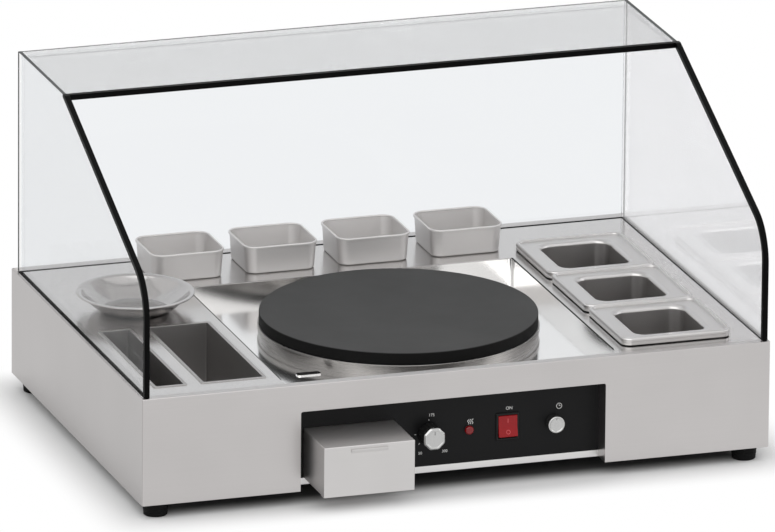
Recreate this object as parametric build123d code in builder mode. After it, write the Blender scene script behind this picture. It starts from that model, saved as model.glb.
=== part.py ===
"""Countertop crepe station: a round griddle in a stainless cabinet with a glass guard and lift-out pans.

Frame: millimetres, +X to the user's right, +Y to the back, +Z up.
The origin is on the counter, under the middle of the footprint, with the crumb drawer standing open
as far as drawer_reach says.
"""

import os
from math import atan, cos, degrees, radians, sin

from build123d import *

os.makedirs("parts", exist_ok=True)

CENTRE_LOW = (Align.CENTER, Align.CENTER, Align.MIN)
LEFT_FRONT_LOW = (Align.MIN, Align.MIN, Align.MIN)

# ---------------------------------------------------------------- driving dimensions
# Cabinet
cabinet_width = 936.0
cabinet_depth = 642.0
cabinet_height = 158.0
foot_height = 22.0
sheet = 1.5
thin_sheet = 1.2
corner_bend = 3.0
top_bend = 1.2
fit_gap = 0.2
drawer_reach = 65.0
drawer_grip_proud = 2.5
gland_reach = 24.0

# Top edges and glass grooves
front_rim = 14.0
side_hem = 4.0
rear_rim = 17.5
glass = 5.0
gasket = 1.0
groove_depth = 18.0
gasket_floor = 2.0

# Glass guard
guard_height = 331.0
guard_top_setback = 396.0
guard_front_inset = 6.5
guard_knee_height = 159.5
guard_knee_radius = 72.0
trim_width = 8.0
trim_wall = 1.5
trim_end_gap = 1.0

# Cooking well and griddle
cook_x = -6.0
well_width = 496.0
well_length = 467.0
well_drop = 23.0
well_corner = 5.0
well_seam = 1.0
plate_diameter = 400.0
plate_thickness = 18.0
plate_rise = 12.0
plate_setback = 255.0
plate_rim = 10.0
plate_recess = 8.0
ring_overhang = 2.0
ring_flange = 10.0
element_rod = 7.0
element_margin = 35.0
element_loop_spacing = 50.0
element_gap_angle = 20.0
insulation_play = 4.0
reflector_play = 1.0
reflector_thickness = 1.2
stud_diameter = 10.0

# Drain and crumb drawer
drain_x = -187.0
drain_setback = 112.0
drain_length = 34.0
drain_width = 12.0
drawer_x = -153.0
drawer_width = 134.5
drawer_front_height = 74.0
drawer_front_depth = 14.0
drawer_floor_gap = 9.0
drawer_body_width = 118.0
drawer_flange = 6.0
drawer_cover_overlap = 2.0
drawer_length = 250.0
drawer_grip_width = 54.0
drawer_grip_height = 6.0
drawer_opening_gap = 1.0
runner_gap = 2.0
slide_gap = 0.3
runner_foot = 12.0

# Control recess
notch_width = 454.5
notch_x = -6.75
notch_height = 118.0
recess_depth = 30.0
fascia_thickness = 2.0
fascia_margin = 11.0
lip_height = 9.5
control_z = 80.0
temp_x = -34.0
lamp_x = 26.0
switch_x = 83.5
timer_x = 152.5

# Utensil troughs on the left
trough_wall = 1.0
trough_lip = 4.0
trough_depth = 100.0
trough_length = 261.0
trough_setback = 51.0
trough_corner = 2.5
narrow_trough_x = -412.0
narrow_trough_width = 40.0
wide_trough_x = -318.5
wide_trough_width = 87.0

# Dish
dish_x = -354.0
dish_setback = 403.5
dish_diameter = 170.0
dish_base_diameter = 96.0
dish_height = 28.0
dish_wall = 1.2
dish_rim_width = 6.0
dish_rim_rise = 2.0

# Deep pans on the right
deep_pan_count = 3
deep_pan_x = 340.0
deep_pan_width = 164.0
deep_pan_length = 162.0
deep_pan_pitch = 164.0
deep_pan_first_setback = 115.0
deep_pan_rise = 12.0
deep_pan_depth = 100.0
deep_pan_mouth_width = 106.0
deep_pan_mouth_length = 116.0
deep_pan_mouth_radius = 20.0
deep_pan_taper = 5.0
deep_pan_bead = 5.0
deep_pan_step = 2.5
deep_pan_wall = 1.0
deep_pan_play = 4.0

# Small pans at the back
small_pan_count = 4
small_pan_x = -27.5
small_pan_pitch = 141.0
small_pan_setback = 559.0
small_pan_width = 110.0
small_pan_length = 100.0
small_pan_height = 42.0
small_pan_taper = 3.0
small_pan_corner = 18.0
small_pan_wall = 1.2
small_pan_bead = 1.2

# Feet
foot_diameter = 38.0
foot_inset = 28.0
foot_screw = 6.0

# ---------------------------------------------------------------- planes worked out from them
front_y = -(cabinet_depth + gland_reach - drawer_reach - drawer_grip_proud) / 2
back_y = front_y + cabinet_depth
middle_y = (front_y + back_y) / 2
deck_top = foot_height + cabinet_height
deck_under = deck_top - sheet
groove_outer_x = cabinet_width / 2 - side_hem
groove_inner_x = groove_outer_x - glass - 2 * gasket
groove_back_y = back_y - rear_rim
groove_front_y = groove_back_y - glass - 2 * gasket
groove_floor = deck_top - groove_depth
glass_seat = groove_floor + gasket_floor
pane_inner_x = groove_inner_x + gasket
pane_outer_x = pane_inner_x + glass
rear_pane_front_y = groove_front_y + gasket
rear_pane_back_y = rear_pane_front_y + glass
guard_top = deck_top + guard_height

rim_back_y = front_y + front_rim
well_left = cook_x - well_width / 2
well_right = cook_x + well_width / 2
well_back_y = rim_back_y + well_length
well_floor = deck_top - well_drop
plate_y = front_y + plate_setback
plate_top = deck_top + plate_rise
plate_under = plate_top - plate_thickness
heater_roof = plate_under + plate_recess
ring_diameter = plate_diameter + 2 * ring_overhang
recess_radius = plate_diameter / 2 - plate_rim
element_outer_radius = recess_radius - element_margin
element_inner_radius = element_outer_radius - element_loop_spacing
insulation_diameter = 2 * (recess_radius - insulation_play)
reflector_diameter = 2 * (recess_radius - reflector_play)

fascia_y = front_y + recess_depth
lip_top = foot_height + lip_height
notch_left = notch_x - notch_width / 2
notch_right = notch_x + notch_width / 2
notch_top = foot_height + notch_height
base_top = foot_height + sheet

drawer_face_y = front_y - drawer_reach
drawer_body_y = drawer_face_y + sheet
drawer_bottom = base_top + drawer_floor_gap
drawer_front_bottom = drawer_bottom - sheet
drawer_front_top = drawer_front_bottom + drawer_front_height
drawer_top = drawer_front_top - sheet
drawer_mouth_top = drawer_front_top + drawer_opening_gap
runner_top = drawer_top - thin_sheet - slide_gap


def mitred_wall(near, far):
    """One cabinet wall: the bent tube of sheet, kept between the mitre lines at its two corners.

    near and far are the outer corners that the wall runs between, anticlockwise seen from above.
    """
    inward_x = far[1] - near[1]
    inward_y = near[0] - far[0]
    span = abs(inward_x) + abs(inward_y)
    inward = (-inward_x / span, -inward_y / span)
    along = ((far[0] - near[0]) / span, (far[1] - near[1]) / span)
    reach = 2 * corner_bend + side_hem
    wedge = [
        (near[0] - along[0] - inward[0], near[1] - along[1] - inward[1]),
        (far[0] + along[0] - inward[0], far[1] + along[1] - inward[1]),
        (far[0] + (inward[0] - along[0]) * reach, far[1] + (inward[1] - along[1]) * reach),
        (near[0] + (inward[0] + along[0]) * reach, near[1] + (inward[1] + along[1]) * reach),
    ]
    with BuildPart() as wall:
        with BuildSketch(Plane.XY.offset(foot_height)):
            with Locations((0, middle_y)):
                RectangleRounded(cabinet_width, cabinet_depth, corner_bend)
        extrude(amount=cabinet_height)
        fillet(wall.edges().group_by(Axis.Z)[-1], top_bend)
        with BuildSketch(Plane.XY.offset(foot_height)):
            with Locations((0, middle_y)):
                RectangleRounded(cabinet_width - 2 * sheet, cabinet_depth - 2 * sheet, corner_bend - sheet)
        extrude(amount=cabinet_height, mode=Mode.SUBTRACT)
        with BuildSketch(Plane.XY.offset(foot_height)):
            with BuildLine():
                Polyline(*wedge, close=True)
            make_face()
        extrude(amount=cabinet_height, mode=Mode.INTERSECT)
    return wall.part


def block(low, high, mode=Mode.ADD):
    """A box given by its lowest and highest corners."""
    with Locations(low):
        return Box(high[0] - low[0], high[1] - low[1], high[2] - low[2], align=LEFT_FRONT_LOW, mode=mode)


def rounded_level(x, y, z, width, length, radius, grow=0.0):
    """A rounded rectangle at height z, grown all round by grow, to extrude from."""
    with BuildSketch(Plane.XY.offset(z)) as level:
        with Locations((x, y)):
            RectangleRounded(width + 2 * grow, length + 2 * grow, radius + grow)
    return level.sketch


half_width = cabinet_width / 2
front_left = (-half_width, front_y)
front_right = (half_width, front_y)
back_right = (half_width, back_y)
back_left = (-half_width, back_y)

# ---------------------------------------------------------------- cabinet walls
with BuildPart() as front_panel:
    add(mitred_wall(front_left, front_right))
    block((-groove_inner_x, front_y + sheet / 2, deck_under), (groove_inner_x, rim_back_y, deck_top))
    # the control recess, open at the bottom, with its edges folded back to the fascia
    block((notch_left - sheet, front_y + sheet / 2, foot_height),
          (notch_right + sheet, fascia_y, notch_top + sheet))
    block((notch_left, front_y - sheet, foot_height - sheet), (notch_right, fascia_y + sheet, notch_top),
          mode=Mode.SUBTRACT)
    notch_corners = front_panel.edges().filter_by(Axis.Y).filter_by_position(Axis.Z, notch_top, notch_top)
    fillet(notch_corners, corner_bend)
front_panel.part.label = "front_panel"
export_step(front_panel.part, "parts/front_panel.step")

for side, near, far in (("left", back_left, front_left), ("right", front_right, back_right)):
    hand = -1 if side == "left" else 1
    with BuildPart() as side_panel:
        add(mitred_wall(near, far))
        hem_edges = sorted((hand * groove_outer_x, hand * (half_width - sheet / 2)))
        block((hem_edges[0], front_y + corner_bend, deck_under),
              (hem_edges[1], back_y - corner_bend, deck_top))
    side_panel.part.label = f"side_panel_{side}"
    export_step(side_panel.part, f"parts/side_panel_{side}.step")

# Rear wall: top flange, two banks of vent slots and the hole for the cable gland
vent_columns = 2
vent_rows = 6
vent_length = 90.0
vent_height = 3.6
vent_pitch = 11.0
vent_bank_x = 210.0
vent_z = foot_height + 78.0
gland_x = 330.0
gland_z = foot_height + 45.0
gland_thread = 20.0
gland_bore = 11.0
gland_hex = 27.0
rear_screw_x = half_width - 40.0
rear_screw_z = cabinet_height - 50.0
panel_screw = 4.0

with BuildPart() as rear_panel:
    add(mitred_wall(back_right, back_left))
    block((-groove_outer_x, groove_back_y, deck_under), (groove_outer_x, back_y - sheet / 2, deck_top))
    with BuildSketch(Plane.XZ.offset(-back_y)):
        with Locations((0, vent_z)):
            with GridLocations(2 * vent_bank_x, vent_pitch, vent_columns, vent_rows):
                SlotOverall(vent_length, vent_height)
        with Locations((gland_x, gland_z)):
            Circle(gland_thread / 2 + fit_gap)
        with Locations((0, foot_height + cabinet_height / 2)):
            with GridLocations(2 * rear_screw_x, rear_screw_z, 2, 2):
                Circle(panel_screw / 2 + fit_gap)
    extrude(amount=2 * sheet, both=True, mode=Mode.SUBTRACT)
rear_panel.part.label = "rear_panel"
export_step(rear_panel.part, "parts/rear_panel.step")

# ---------------------------------------------------------------- base plate with its folded rim
foot_x = half_width - foot_inset
foot_dy = cabinet_depth - 2 * foot_inset
base_rim = lip_height

with BuildPart() as base_plate:
    with BuildSketch(Plane.XY.offset(foot_height)) as base_outline:
        with Locations((0, middle_y)):
            RectangleRounded(cabinet_width - 2 * sheet - 2 * fit_gap,
                             cabinet_depth - 2 * sheet - 2 * fit_gap, corner_bend)
        with Locations((notch_x, front_y)):
            Rectangle(notch_width + 2 * sheet + 2 * fit_gap, 2 * recess_depth, mode=Mode.SUBTRACT)
    extrude(amount=sheet)
    with BuildSketch(Plane.XY.offset(foot_height)):
        add(base_outline.sketch)
        offset(base_outline.sketch, amount=-sheet, kind=Kind.INTERSECTION, mode=Mode.SUBTRACT)
    extrude(amount=base_rim)
    with Locations((0, middle_y, base_top)):
        with GridLocations(2 * foot_x, foot_dy, 2, 2):
            Hole(foot_screw / 2 + fit_gap, depth=2 * sheet)
base_plate.part.label = "base_plate"
export_step(base_plate.part, "parts/base_plate.step")

# ---------------------------------------------------------------- rubber feet and their screws
foot_places = {
    "front_left": (-foot_x, front_y + foot_inset),
    "front_right": (foot_x, front_y + foot_inset),
    "rear_left": (-foot_x, back_y - foot_inset),
    "rear_right": (foot_x, back_y - foot_inset),
}
foot_seat = 6.0
foot_pocket = 14.0
foot_draft = 2.0
foot_round = 1.5
for place, (x, y) in foot_places.items():
    with BuildPart() as foot:
        with Locations((x, y, 0)):
            Cone(foot_diameter / 2 - foot_draft, foot_diameter / 2, foot_height, align=CENTRE_LOW)
            Cylinder(foot_pocket / 2, foot_height - foot_seat, align=CENTRE_LOW, mode=Mode.SUBTRACT)
            Cylinder(foot_screw / 2 + fit_gap, foot_height, align=CENTRE_LOW, mode=Mode.SUBTRACT)
        lower_circles = foot.edges().filter_by(GeomType.CIRCLE).sort_by(Axis.Z)[:2]
        fillet(lower_circles.sort_by(SortBy.RADIUS)[-1], foot_round)
    foot.part.label = f"foot_{place}"
    export_step(foot.part, f"parts/foot_{place}.step")

screw_head = 10.0
screw_head_height = 3.0
screw_end = 1.0
nut_width = 10.0
nut_height = 5.0
screw_length = foot_seat + sheet + nut_height + screw_end
with BuildPart() as foot_screws:
    for x, y in foot_places.values():
        with Locations((x, y, foot_height - foot_seat)):
            Cylinder(foot_screw / 2, screw_length, align=CENTRE_LOW)
            Cylinder(screw_head / 2, screw_head_height, align=(Align.CENTER, Align.CENTER, Align.MAX))
        with BuildSketch(Plane.XY.offset(base_top)):
            with Locations((x, y)):
                RegularPolygon(nut_width / 2, 6, major_radius=False)
        extrude(amount=nut_height)
foot_screws.part.label = "foot_screws"
export_step(foot_screws.part, "parts/foot_screws.step")

panel_screw_length = 6.0
panel_screw_head = 8.0
panel_screw_head_height = 2.4
panel_screw_taper = 18.0
with BuildPart() as panel_screws:
    for x in (-rear_screw_x, rear_screw_x):
        for z in (-rear_screw_z / 2, rear_screw_z / 2):
            screw_z = foot_height + cabinet_height / 2 + z
            with BuildSketch(Plane.XZ.offset(-back_y)):
                with Locations((x, screw_z)):
                    Circle(panel_screw / 2)
            extrude(amount=panel_screw_length)
            with BuildSketch(Plane.XZ.offset(-back_y)):
                with Locations((x, screw_z)):
                    Circle(panel_screw_head / 2)
            extrude(amount=-panel_screw_head_height, taper=panel_screw_taper)
panel_screws.part.label = "panel_screws"
export_step(panel_screws.part, "parts/panel_screws.step")

# ---------------------------------------------------------------- deck sheets
deck_back_y = groove_front_y
ledge_out = half_width - sheet - fit_gap
trough_places = [(narrow_trough_x, narrow_trough_width), (wide_trough_x, wide_trough_width)]
trough_y = front_y + trough_setback + trough_length / 2
trough_play = 0.75
deep_pan_places = [
    (deep_pan_x, front_y + deep_pan_first_setback + i * deep_pan_pitch) for i in range(deep_pan_count)
]


def deck_side(hand, inner_x, holes):
    """The deck sheet on one side, with the folded groove that holds the side glass.

    holes lists (x, y, width, length, corner radius) of the openings in it.
    """
    fold_x = groove_inner_x - sheet
    with BuildPart() as deck:
        low, high = sorted((hand * groove_inner_x, inner_x))
        block((low, rim_back_y, deck_under), (high, deck_back_y, deck_top))
        low, high = sorted((hand * groove_inner_x, hand * fold_x))
        block((low, rim_back_y, groove_floor - sheet), (high, deck_back_y, deck_top))
        low, high = sorted((hand * fold_x, hand * ledge_out))
        block((low, front_y + corner_bend + fit_gap, groove_floor - sheet),
              (high, deck_back_y, groove_floor))
        low, high = sorted((hand * fold_x, inner_x))
        block((low, deck_back_y - sheet, groove_floor - sheet), (high, deck_back_y, deck_top))
        low, high = sorted((hand * ledge_out, inner_x))
        block((low, deck_back_y - sheet, groove_floor - sheet), (high, groove_back_y + sheet, groove_floor))
        with BuildSketch(Plane.XY.offset(deck_under)):
            for x, y, width, length, radius in holes:
                with Locations((x, y)):
                    RectangleRounded(width, length, radius)
        extrude(amount=sheet, mode=Mode.SUBTRACT)
    return deck.part


trough_holes = [
    (x, trough_y, width + 2 * trough_wall + 2 * trough_play,
     trough_length + 2 * trough_wall + 2 * trough_play, trough_corner + trough_wall)
    for x, width in trough_places
]
with BuildPart() as deck_left:
    add(deck_side(-1, well_left, trough_holes))
deck_left.part.label = "deck_left"
export_step(deck_left.part, "parts/deck_left.step")

pan_holes = [
    (x, y, deep_pan_mouth_width + 2 * deep_pan_wall + 2 * deep_pan_play,
     deep_pan_mouth_length + 2 * deep_pan_wall + 2 * deep_pan_play, deep_pan_mouth_radius + deep_pan_play)
    for x, y in deep_pan_places
]
with BuildPart() as deck_right:
    add(deck_side(1, well_right, pan_holes))
deck_right.part.label = "deck_right"
export_step(deck_right.part, "parts/deck_right.step")

with BuildPart() as deck_rear:
    block((well_left, well_back_y, deck_under), (well_right, deck_back_y, deck_top))
    block((well_left, deck_back_y - sheet, groove_floor - sheet), (well_right, deck_back_y, deck_top))
    block((well_left, deck_back_y - sheet, groove_floor - sheet),
          (well_right, groove_back_y + sheet, groove_floor))
deck_rear.part.label = "deck_rear"
export_step(deck_rear.part, "parts/deck_rear.step")

# ---------------------------------------------------------------- cooking well and its drain
loop_start = 270.0 + element_gap_angle / 2
start_angle = radians(loop_start)
terminal_places = [
    (cook_x + radius * cos(start_angle), plate_y + radius * sin(start_angle))
    for radius in (element_outer_radius, element_inner_radius)
]
terminal_clearance = 1.0
terminal_hole = element_rod / 2 + terminal_clearance
drain_y = front_y + drain_setback
drain_wall = 1.0
drain_lip = 1.6
drain_corner = 3.0
drain_flange = 8.0
drain_flange_corner = 6.0
drain_clearance = 3.0
drain_bottom = drawer_front_top + drain_clearance
wiring_hole = 24.0
wiring_setback = 60.0
wiring_y = plate_y + wiring_setback

with BuildPart() as well_tray:
    with BuildSketch(Plane.XY.offset(well_floor - thin_sheet)):
        with Locations((cook_x, (rim_back_y + well_back_y) / 2)):
            Rectangle(well_width, well_length)
    extrude(amount=well_drop - well_seam + thin_sheet)
    with BuildSketch(Plane.XY.offset(well_floor)):
        with Locations((cook_x, (rim_back_y + well_back_y) / 2)):
            RectangleRounded(well_width - 2 * thin_sheet, well_length - 2 * thin_sheet, well_corner)
    extrude(amount=well_drop, mode=Mode.SUBTRACT)
    with BuildSketch(Plane.XY.offset(well_floor - thin_sheet)):
        with Locations((drain_x, drain_y)):
            RectangleRounded(drain_length + 2 * drain_wall, drain_width + 2 * drain_wall,
                             drain_corner + drain_wall)
        with Locations((cook_x, plate_y)):
            Circle(stud_diameter / 2 + 2 * fit_gap)
        with Locations(*terminal_places):
            Circle(terminal_hole)
        with Locations((cook_x, wiring_y)):
            Circle(wiring_hole / 2)
    extrude(amount=thin_sheet, mode=Mode.SUBTRACT)
well_tray.part.label = "well_tray"
export_step(well_tray.part, "parts/well_tray.step")

with BuildPart() as drain_spout:
    add(rounded_level(drain_x, drain_y, drain_bottom, drain_length, drain_width, drain_corner,
                      grow=drain_wall))
    extrude(amount=well_floor + drain_lip - drain_bottom)
    with BuildSketch(Plane.XY.offset(well_floor - thin_sheet)):
        with Locations((drain_x, drain_y)):
            RectangleRounded(drain_length + 2 * drain_flange, drain_width + 2 * drain_flange,
                             drain_flange_corner)
    extrude(amount=-thin_sheet)
    add(rounded_level(drain_x, drain_y, drain_bottom, drain_length, drain_width, drain_corner))
    extrude(amount=well_floor + drain_lip - drain_bottom, mode=Mode.SUBTRACT)
drain_spout.part.label = "drain_spout"
export_step(drain_spout.part, "parts/drain_spout.step")

# ---------------------------------------------------------------- griddle, from the top down
plate_radius = plate_diameter / 2
plate_round = 1.5
plate_boss_diameter = 20.0
plate_boss_height = 6.0
stud_engagement = 2.0
stud_hole_end = 1.0
with BuildPart() as hot_plate:
    with Locations((cook_x, plate_y, plate_under)):
        Cylinder(plate_radius, plate_thickness, align=CENTRE_LOW)
        Cylinder(recess_radius, plate_recess, align=CENTRE_LOW, mode=Mode.SUBTRACT)
    # the cast boss that the stud screws into
    with Locations((cook_x, plate_y, heater_roof)):
        Cylinder(plate_boss_diameter / 2, plate_boss_height, align=(Align.CENTER, Align.CENTER, Align.MAX))
    with Locations((cook_x, plate_y, heater_roof - plate_boss_height)):
        Cylinder(stud_diameter / 2, plate_boss_height + stud_engagement + stud_hole_end, align=CENTRE_LOW,
                 mode=Mode.SUBTRACT)
    fillet(hot_plate.edges().filter_by(GeomType.CIRCLE).group_by(Axis.Z)[-1].sort_by(SortBy.RADIUS)[-1],
           plate_round)
hot_plate.part.label = "hot_plate"
export_step(hot_plate.part, "parts/hot_plate.step")

ring_radius = ring_diameter / 2
ring_wall = 1.5
ring_round = 1.0
ring_seat_gap = 1.0
ring_step = 1.0
ring_band_height = 8.5
ring_foot_radius = ring_radius - ring_step
ring_band_bottom = plate_under - ring_band_height
ring_seat_radius = recess_radius - ring_seat_gap
with BuildPart() as plate_ring:
    with BuildSketch(Plane.XZ):
        with BuildLine():
            Polyline(
                (ring_foot_radius, well_floor),
                (ring_foot_radius, ring_band_bottom),
                (ring_radius, ring_band_bottom),
                (ring_radius, plate_under),
                (ring_seat_radius, plate_under),
                (ring_seat_radius, plate_under - ring_wall),
                (ring_radius - ring_wall, plate_under - ring_wall),
                (ring_radius - ring_wall, ring_band_bottom + ring_wall),
                (ring_foot_radius - ring_wall, ring_band_bottom + ring_wall),
                (ring_foot_radius - ring_wall, well_floor + ring_wall),
                (ring_radius - ring_flange, well_floor + ring_wall),
                (ring_radius - ring_flange, well_floor),
                close=True,
            )
        make_face()
    revolve(axis=Axis.Z)
    fillet(plate_ring.edges().filter_by(GeomType.CIRCLE).group_by(Axis.Z)[-1].sort_by(SortBy.RADIUS)[-1],
           ring_round)
plate_ring_placed = plate_ring.part.moved(Location((cook_x, plate_y, 0)))
plate_ring_placed.label = "plate_ring"
export_step(plate_ring_placed, "parts/plate_ring.step")

# The element: an outer loop that doubles back into an inner loop, ends side by side
loop_sweep = 360.0 - element_gap_angle
turn_angle = loop_start + loop_sweep
turn_radius = (element_outer_radius - element_inner_radius) / 2
turn_distance = (element_outer_radius + element_inner_radius) / 2
element_z = heater_roof - element_rod / 2
terminal_drop = 34.0
terminal_pin = 6.0
with BuildPart() as heating_element:
    turn_centre = (turn_distance * cos(radians(turn_angle)), turn_distance * sin(radians(turn_angle)))
    with BuildLine(Plane((cook_x, plate_y, element_z))) as loop:
        CenterArc((0, 0), element_outer_radius, loop_start, loop_sweep)
        CenterArc(turn_centre, turn_radius, turn_angle, 180)
        CenterArc((0, 0), element_inner_radius, turn_angle, -loop_sweep)
    start_point = (
        cook_x + element_outer_radius * cos(start_angle),
        plate_y + element_outer_radius * sin(start_angle),
        element_z,
    )
    start_heading = (-sin(start_angle), cos(start_angle), 0)
    with BuildSketch(Plane(start_point, z_dir=start_heading)):
        Circle(element_rod / 2)
    sweep(path=loop.wires()[0])
    for x, y in terminal_places:
        with Locations((x, y, element_z)):
            Sphere(element_rod / 2)
            Cylinder(terminal_pin / 2, terminal_drop, align=(Align.CENTER, Align.CENTER, Align.MAX))
heating_element.part.label = "heating_element"
export_step(heating_element.part, "parts/heating_element.step")

clamp_thickness = 2.8
reflector_top = element_z - element_rod / 2 - clamp_thickness
insulation_top = reflector_top - reflector_thickness
with BuildPart() as heat_reflector:
    with BuildSketch(Plane.XY.offset(insulation_top)):
        with Locations((cook_x, plate_y)):
            Circle(reflector_diameter / 2)
            Circle(stud_diameter / 2 + 2 * fit_gap, mode=Mode.SUBTRACT)
        with Locations(*terminal_places):
            Circle(terminal_hole, mode=Mode.SUBTRACT)
    extrude(amount=reflector_thickness)
heat_reflector.part.label = "heat_reflector"
export_step(heat_reflector.part, "parts/heat_reflector.step")

with BuildPart() as insulation_disc:
    with BuildSketch(Plane.XY.offset(well_floor)):
        with Locations((cook_x, plate_y)):
            Circle(insulation_diameter / 2)
            Circle(stud_diameter / 2 + 2 * fit_gap, mode=Mode.SUBTRACT)
        with Locations(*terminal_places):
            Circle(terminal_hole, mode=Mode.SUBTRACT)
    extrude(amount=insulation_top - well_floor)
insulation_disc.part.label = "insulation_disc"
export_step(insulation_disc.part, "parts/insulation_disc.step")

clamp_count = 3
clamp_width = 18.0
clamp_length = 84.0
clamp_corner = 3.0
clamp_start_angle = 30.0
with BuildPart() as element_clamps:
    with BuildSketch(Plane((cook_x, plate_y, reflector_top))):
        with PolarLocations((element_outer_radius + element_inner_radius) / 2, clamp_count,
                            start_angle=clamp_start_angle):
            RectangleRounded(clamp_length, clamp_width, clamp_corner)
    extrude(amount=clamp_thickness)
element_clamps.part.label = "element_clamps"
export_step(element_clamps.part, "parts/element_clamps.step")

bulb_diameter = 6.0
bulb_length = 90.0
bulb_round = 1.2
bulb_setback = 45.0
with BuildPart() as sensor_bulb:
    with Locations((cook_x, plate_y + bulb_setback, heater_roof - bulb_diameter / 2)):
        Cylinder(bulb_diameter / 2, bulb_length, rotation=(0, 90, 0))
    fillet(sensor_bulb.edges().filter_by(GeomType.CIRCLE), bulb_round)
sensor_bulb.part.label = "sensor_bulb"
export_step(sensor_bulb.part, "parts/sensor_bulb.step")

stud_nut = 17.0
stud_nut_height = 8.0
stud_washer = 30.0
stud_washer_thickness = 2.0
well_under = well_floor - thin_sheet
stud_end = 3.0
stud_bottom = well_under - stud_washer_thickness - stud_nut_height - stud_end
with BuildPart() as plate_fixing:
    with Locations((cook_x, plate_y, stud_bottom)):
        Cylinder(stud_diameter / 2, heater_roof + stud_engagement - stud_bottom, align=CENTRE_LOW)
    with Locations((cook_x, plate_y, well_under)):
        Cylinder(stud_washer / 2, stud_washer_thickness, align=(Align.CENTER, Align.CENTER, Align.MAX))
    with BuildSketch(Plane((cook_x, plate_y, well_under - stud_washer_thickness))):
        RegularPolygon(stud_nut / 2, 6, major_radius=False)
    extrude(amount=-stud_nut_height)
plate_fixing.part.label = "plate_fixing"
export_step(plate_fixing.part, "parts/plate_fixing.step")

# ---------------------------------------------------------------- glass guard
guard_top_y = front_y + guard_top_setback
guard_front_y = front_y + guard_front_inset
guard_knee_z = deck_top + guard_knee_height
pane_middle_x = (pane_inner_x + pane_outer_x) / 2
side_panes = {}

for side, hand in (("left", -1), ("right", 1)):
    with BuildPart() as side_pane:
        with BuildSketch(Plane.YZ.offset(min(hand * pane_inner_x, hand * pane_outer_x))) as outline:
            with BuildLine():
                Polyline(
                    (rear_pane_back_y, glass_seat),
                    (rear_pane_back_y, guard_top),
                    (guard_top_y, guard_top),
                    (guard_front_y, guard_knee_z),
                    (guard_front_y, glass_seat),
                    close=True,
                )
            make_face()
            fillet(outline.vertices().group_by(Axis.X)[0].sort_by(Axis.Y)[-1], guard_knee_radius)
        extrude(amount=glass)
    side_pane.part.label = f"guard_glass_{side}"
    export_step(side_pane.part, f"parts/guard_glass_{side}.step")
    side_panes[side] = side_pane.part

with BuildPart() as rear_pane:
    block((-pane_inner_x, rear_pane_front_y, glass_seat),
          (pane_inner_x, rear_pane_back_y, guard_top - glass))
rear_pane.part.label = "guard_glass_rear"
export_step(rear_pane.part, "parts/guard_glass_rear.step")

with BuildPart() as top_pane:
    block((-pane_inner_x, guard_top_y, guard_top - glass), (pane_inner_x, rear_pane_back_y, guard_top))
top_pane.part.label = "guard_glass_top"
export_step(top_pane.part, "parts/guard_glass_top.step")

# Edge trims: a channel over the front edge of each side pane and of the top pane
trim_top_z = guard_top + trim_wall
slope_run = guard_top_y - guard_front_y
slope_rise = guard_top - guard_knee_z
over_run = 2 * trim_width
for side, hand in (("left", -1), ("right", 1)):
    with BuildPart() as side_trim:
        with BuildSketch(Plane.YZ.offset(hand * pane_middle_x - trim_width / 2)):
            with BuildLine():
                FilletPolyline(
                    (guard_top_y + over_run, guard_top + over_run * slope_rise / slope_run),
                    (guard_front_y, guard_knee_z),
                    (guard_front_y, deck_top + trim_end_gap),
                    radius=guard_knee_radius,
                )
            trace(line_width=trim_width)
        extrude(amount=trim_width)
        block((hand * pane_middle_x - trim_width, guard_top_y - over_run, trim_top_z),
              (hand * pane_middle_x + trim_width, guard_top_y + 2 * over_run, trim_top_z + 2 * over_run),
              mode=Mode.SUBTRACT)
        block((hand * pane_middle_x - trim_width, guard_top_y + trim_width / 2, guard_top - 2 * over_run),
              (hand * pane_middle_x + trim_width, guard_top_y + 2 * over_run, trim_top_z),
              mode=Mode.SUBTRACT)
        add(side_panes[side], mode=Mode.SUBTRACT)
        add(top_pane.part, mode=Mode.SUBTRACT)
    side_trim.part.label = f"edge_trim_{side}"
    export_step(side_trim.part, f"parts/edge_trim_{side}.step")

trim_inner_x = pane_middle_x - trim_width / 2
with BuildPart() as top_trim:
    block((-trim_inner_x, guard_top_y - trim_width / 2, trim_top_z - trim_width),
          (trim_inner_x, guard_top_y + trim_width / 2, trim_top_z))
    add(top_pane.part, mode=Mode.SUBTRACT)
top_trim.part.label = "edge_trim_top"
export_step(top_trim.part, "parts/edge_trim_top.step")

# Soft channels that hold the panes in the deck's grooves
for side, hand in (("left", -1), ("right", 1)):
    channel_low, channel_high = sorted((hand * groove_inner_x, hand * groove_outer_x))
    pane_low, pane_high = sorted((hand * pane_inner_x, hand * pane_outer_x))
    channel_front_y = front_y + sheet + fit_gap
    with BuildPart() as side_channel:
        block((channel_low, channel_front_y, groove_floor), (channel_high, groove_back_y, deck_top))
        block((pane_low, channel_front_y, glass_seat), (pane_high, rear_pane_back_y, deck_top),
              mode=Mode.SUBTRACT)
        add(rear_pane.part, mode=Mode.SUBTRACT)
    side_channel.part.label = f"glass_channel_{side}"
    export_step(side_channel.part, f"parts/glass_channel_{side}.step")

with BuildPart() as rear_channel:
    block((-groove_inner_x, groove_front_y, groove_floor), (groove_inner_x, groove_back_y, deck_top))
    block((-groove_inner_x, rear_pane_front_y, glass_seat), (groove_inner_x, rear_pane_back_y, deck_top),
          mode=Mode.SUBTRACT)
rear_channel.part.label = "glass_channel_rear"
export_step(rear_channel.part, "parts/glass_channel_rear.step")

# ---------------------------------------------------------------- control fascia
bush_radius = 5.0
spindle_radius = 3.0
running_clearance = 0.05
lamp_barrel_radius = 6.0
switch_body_width = 31.0
switch_body_height = 37.0
fascia_front = Plane.XZ.offset(-fascia_y)
fascia_back_y = fascia_y + fascia_thickness
drawer_mouth_width = drawer_width + 2 * drawer_opening_gap

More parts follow.
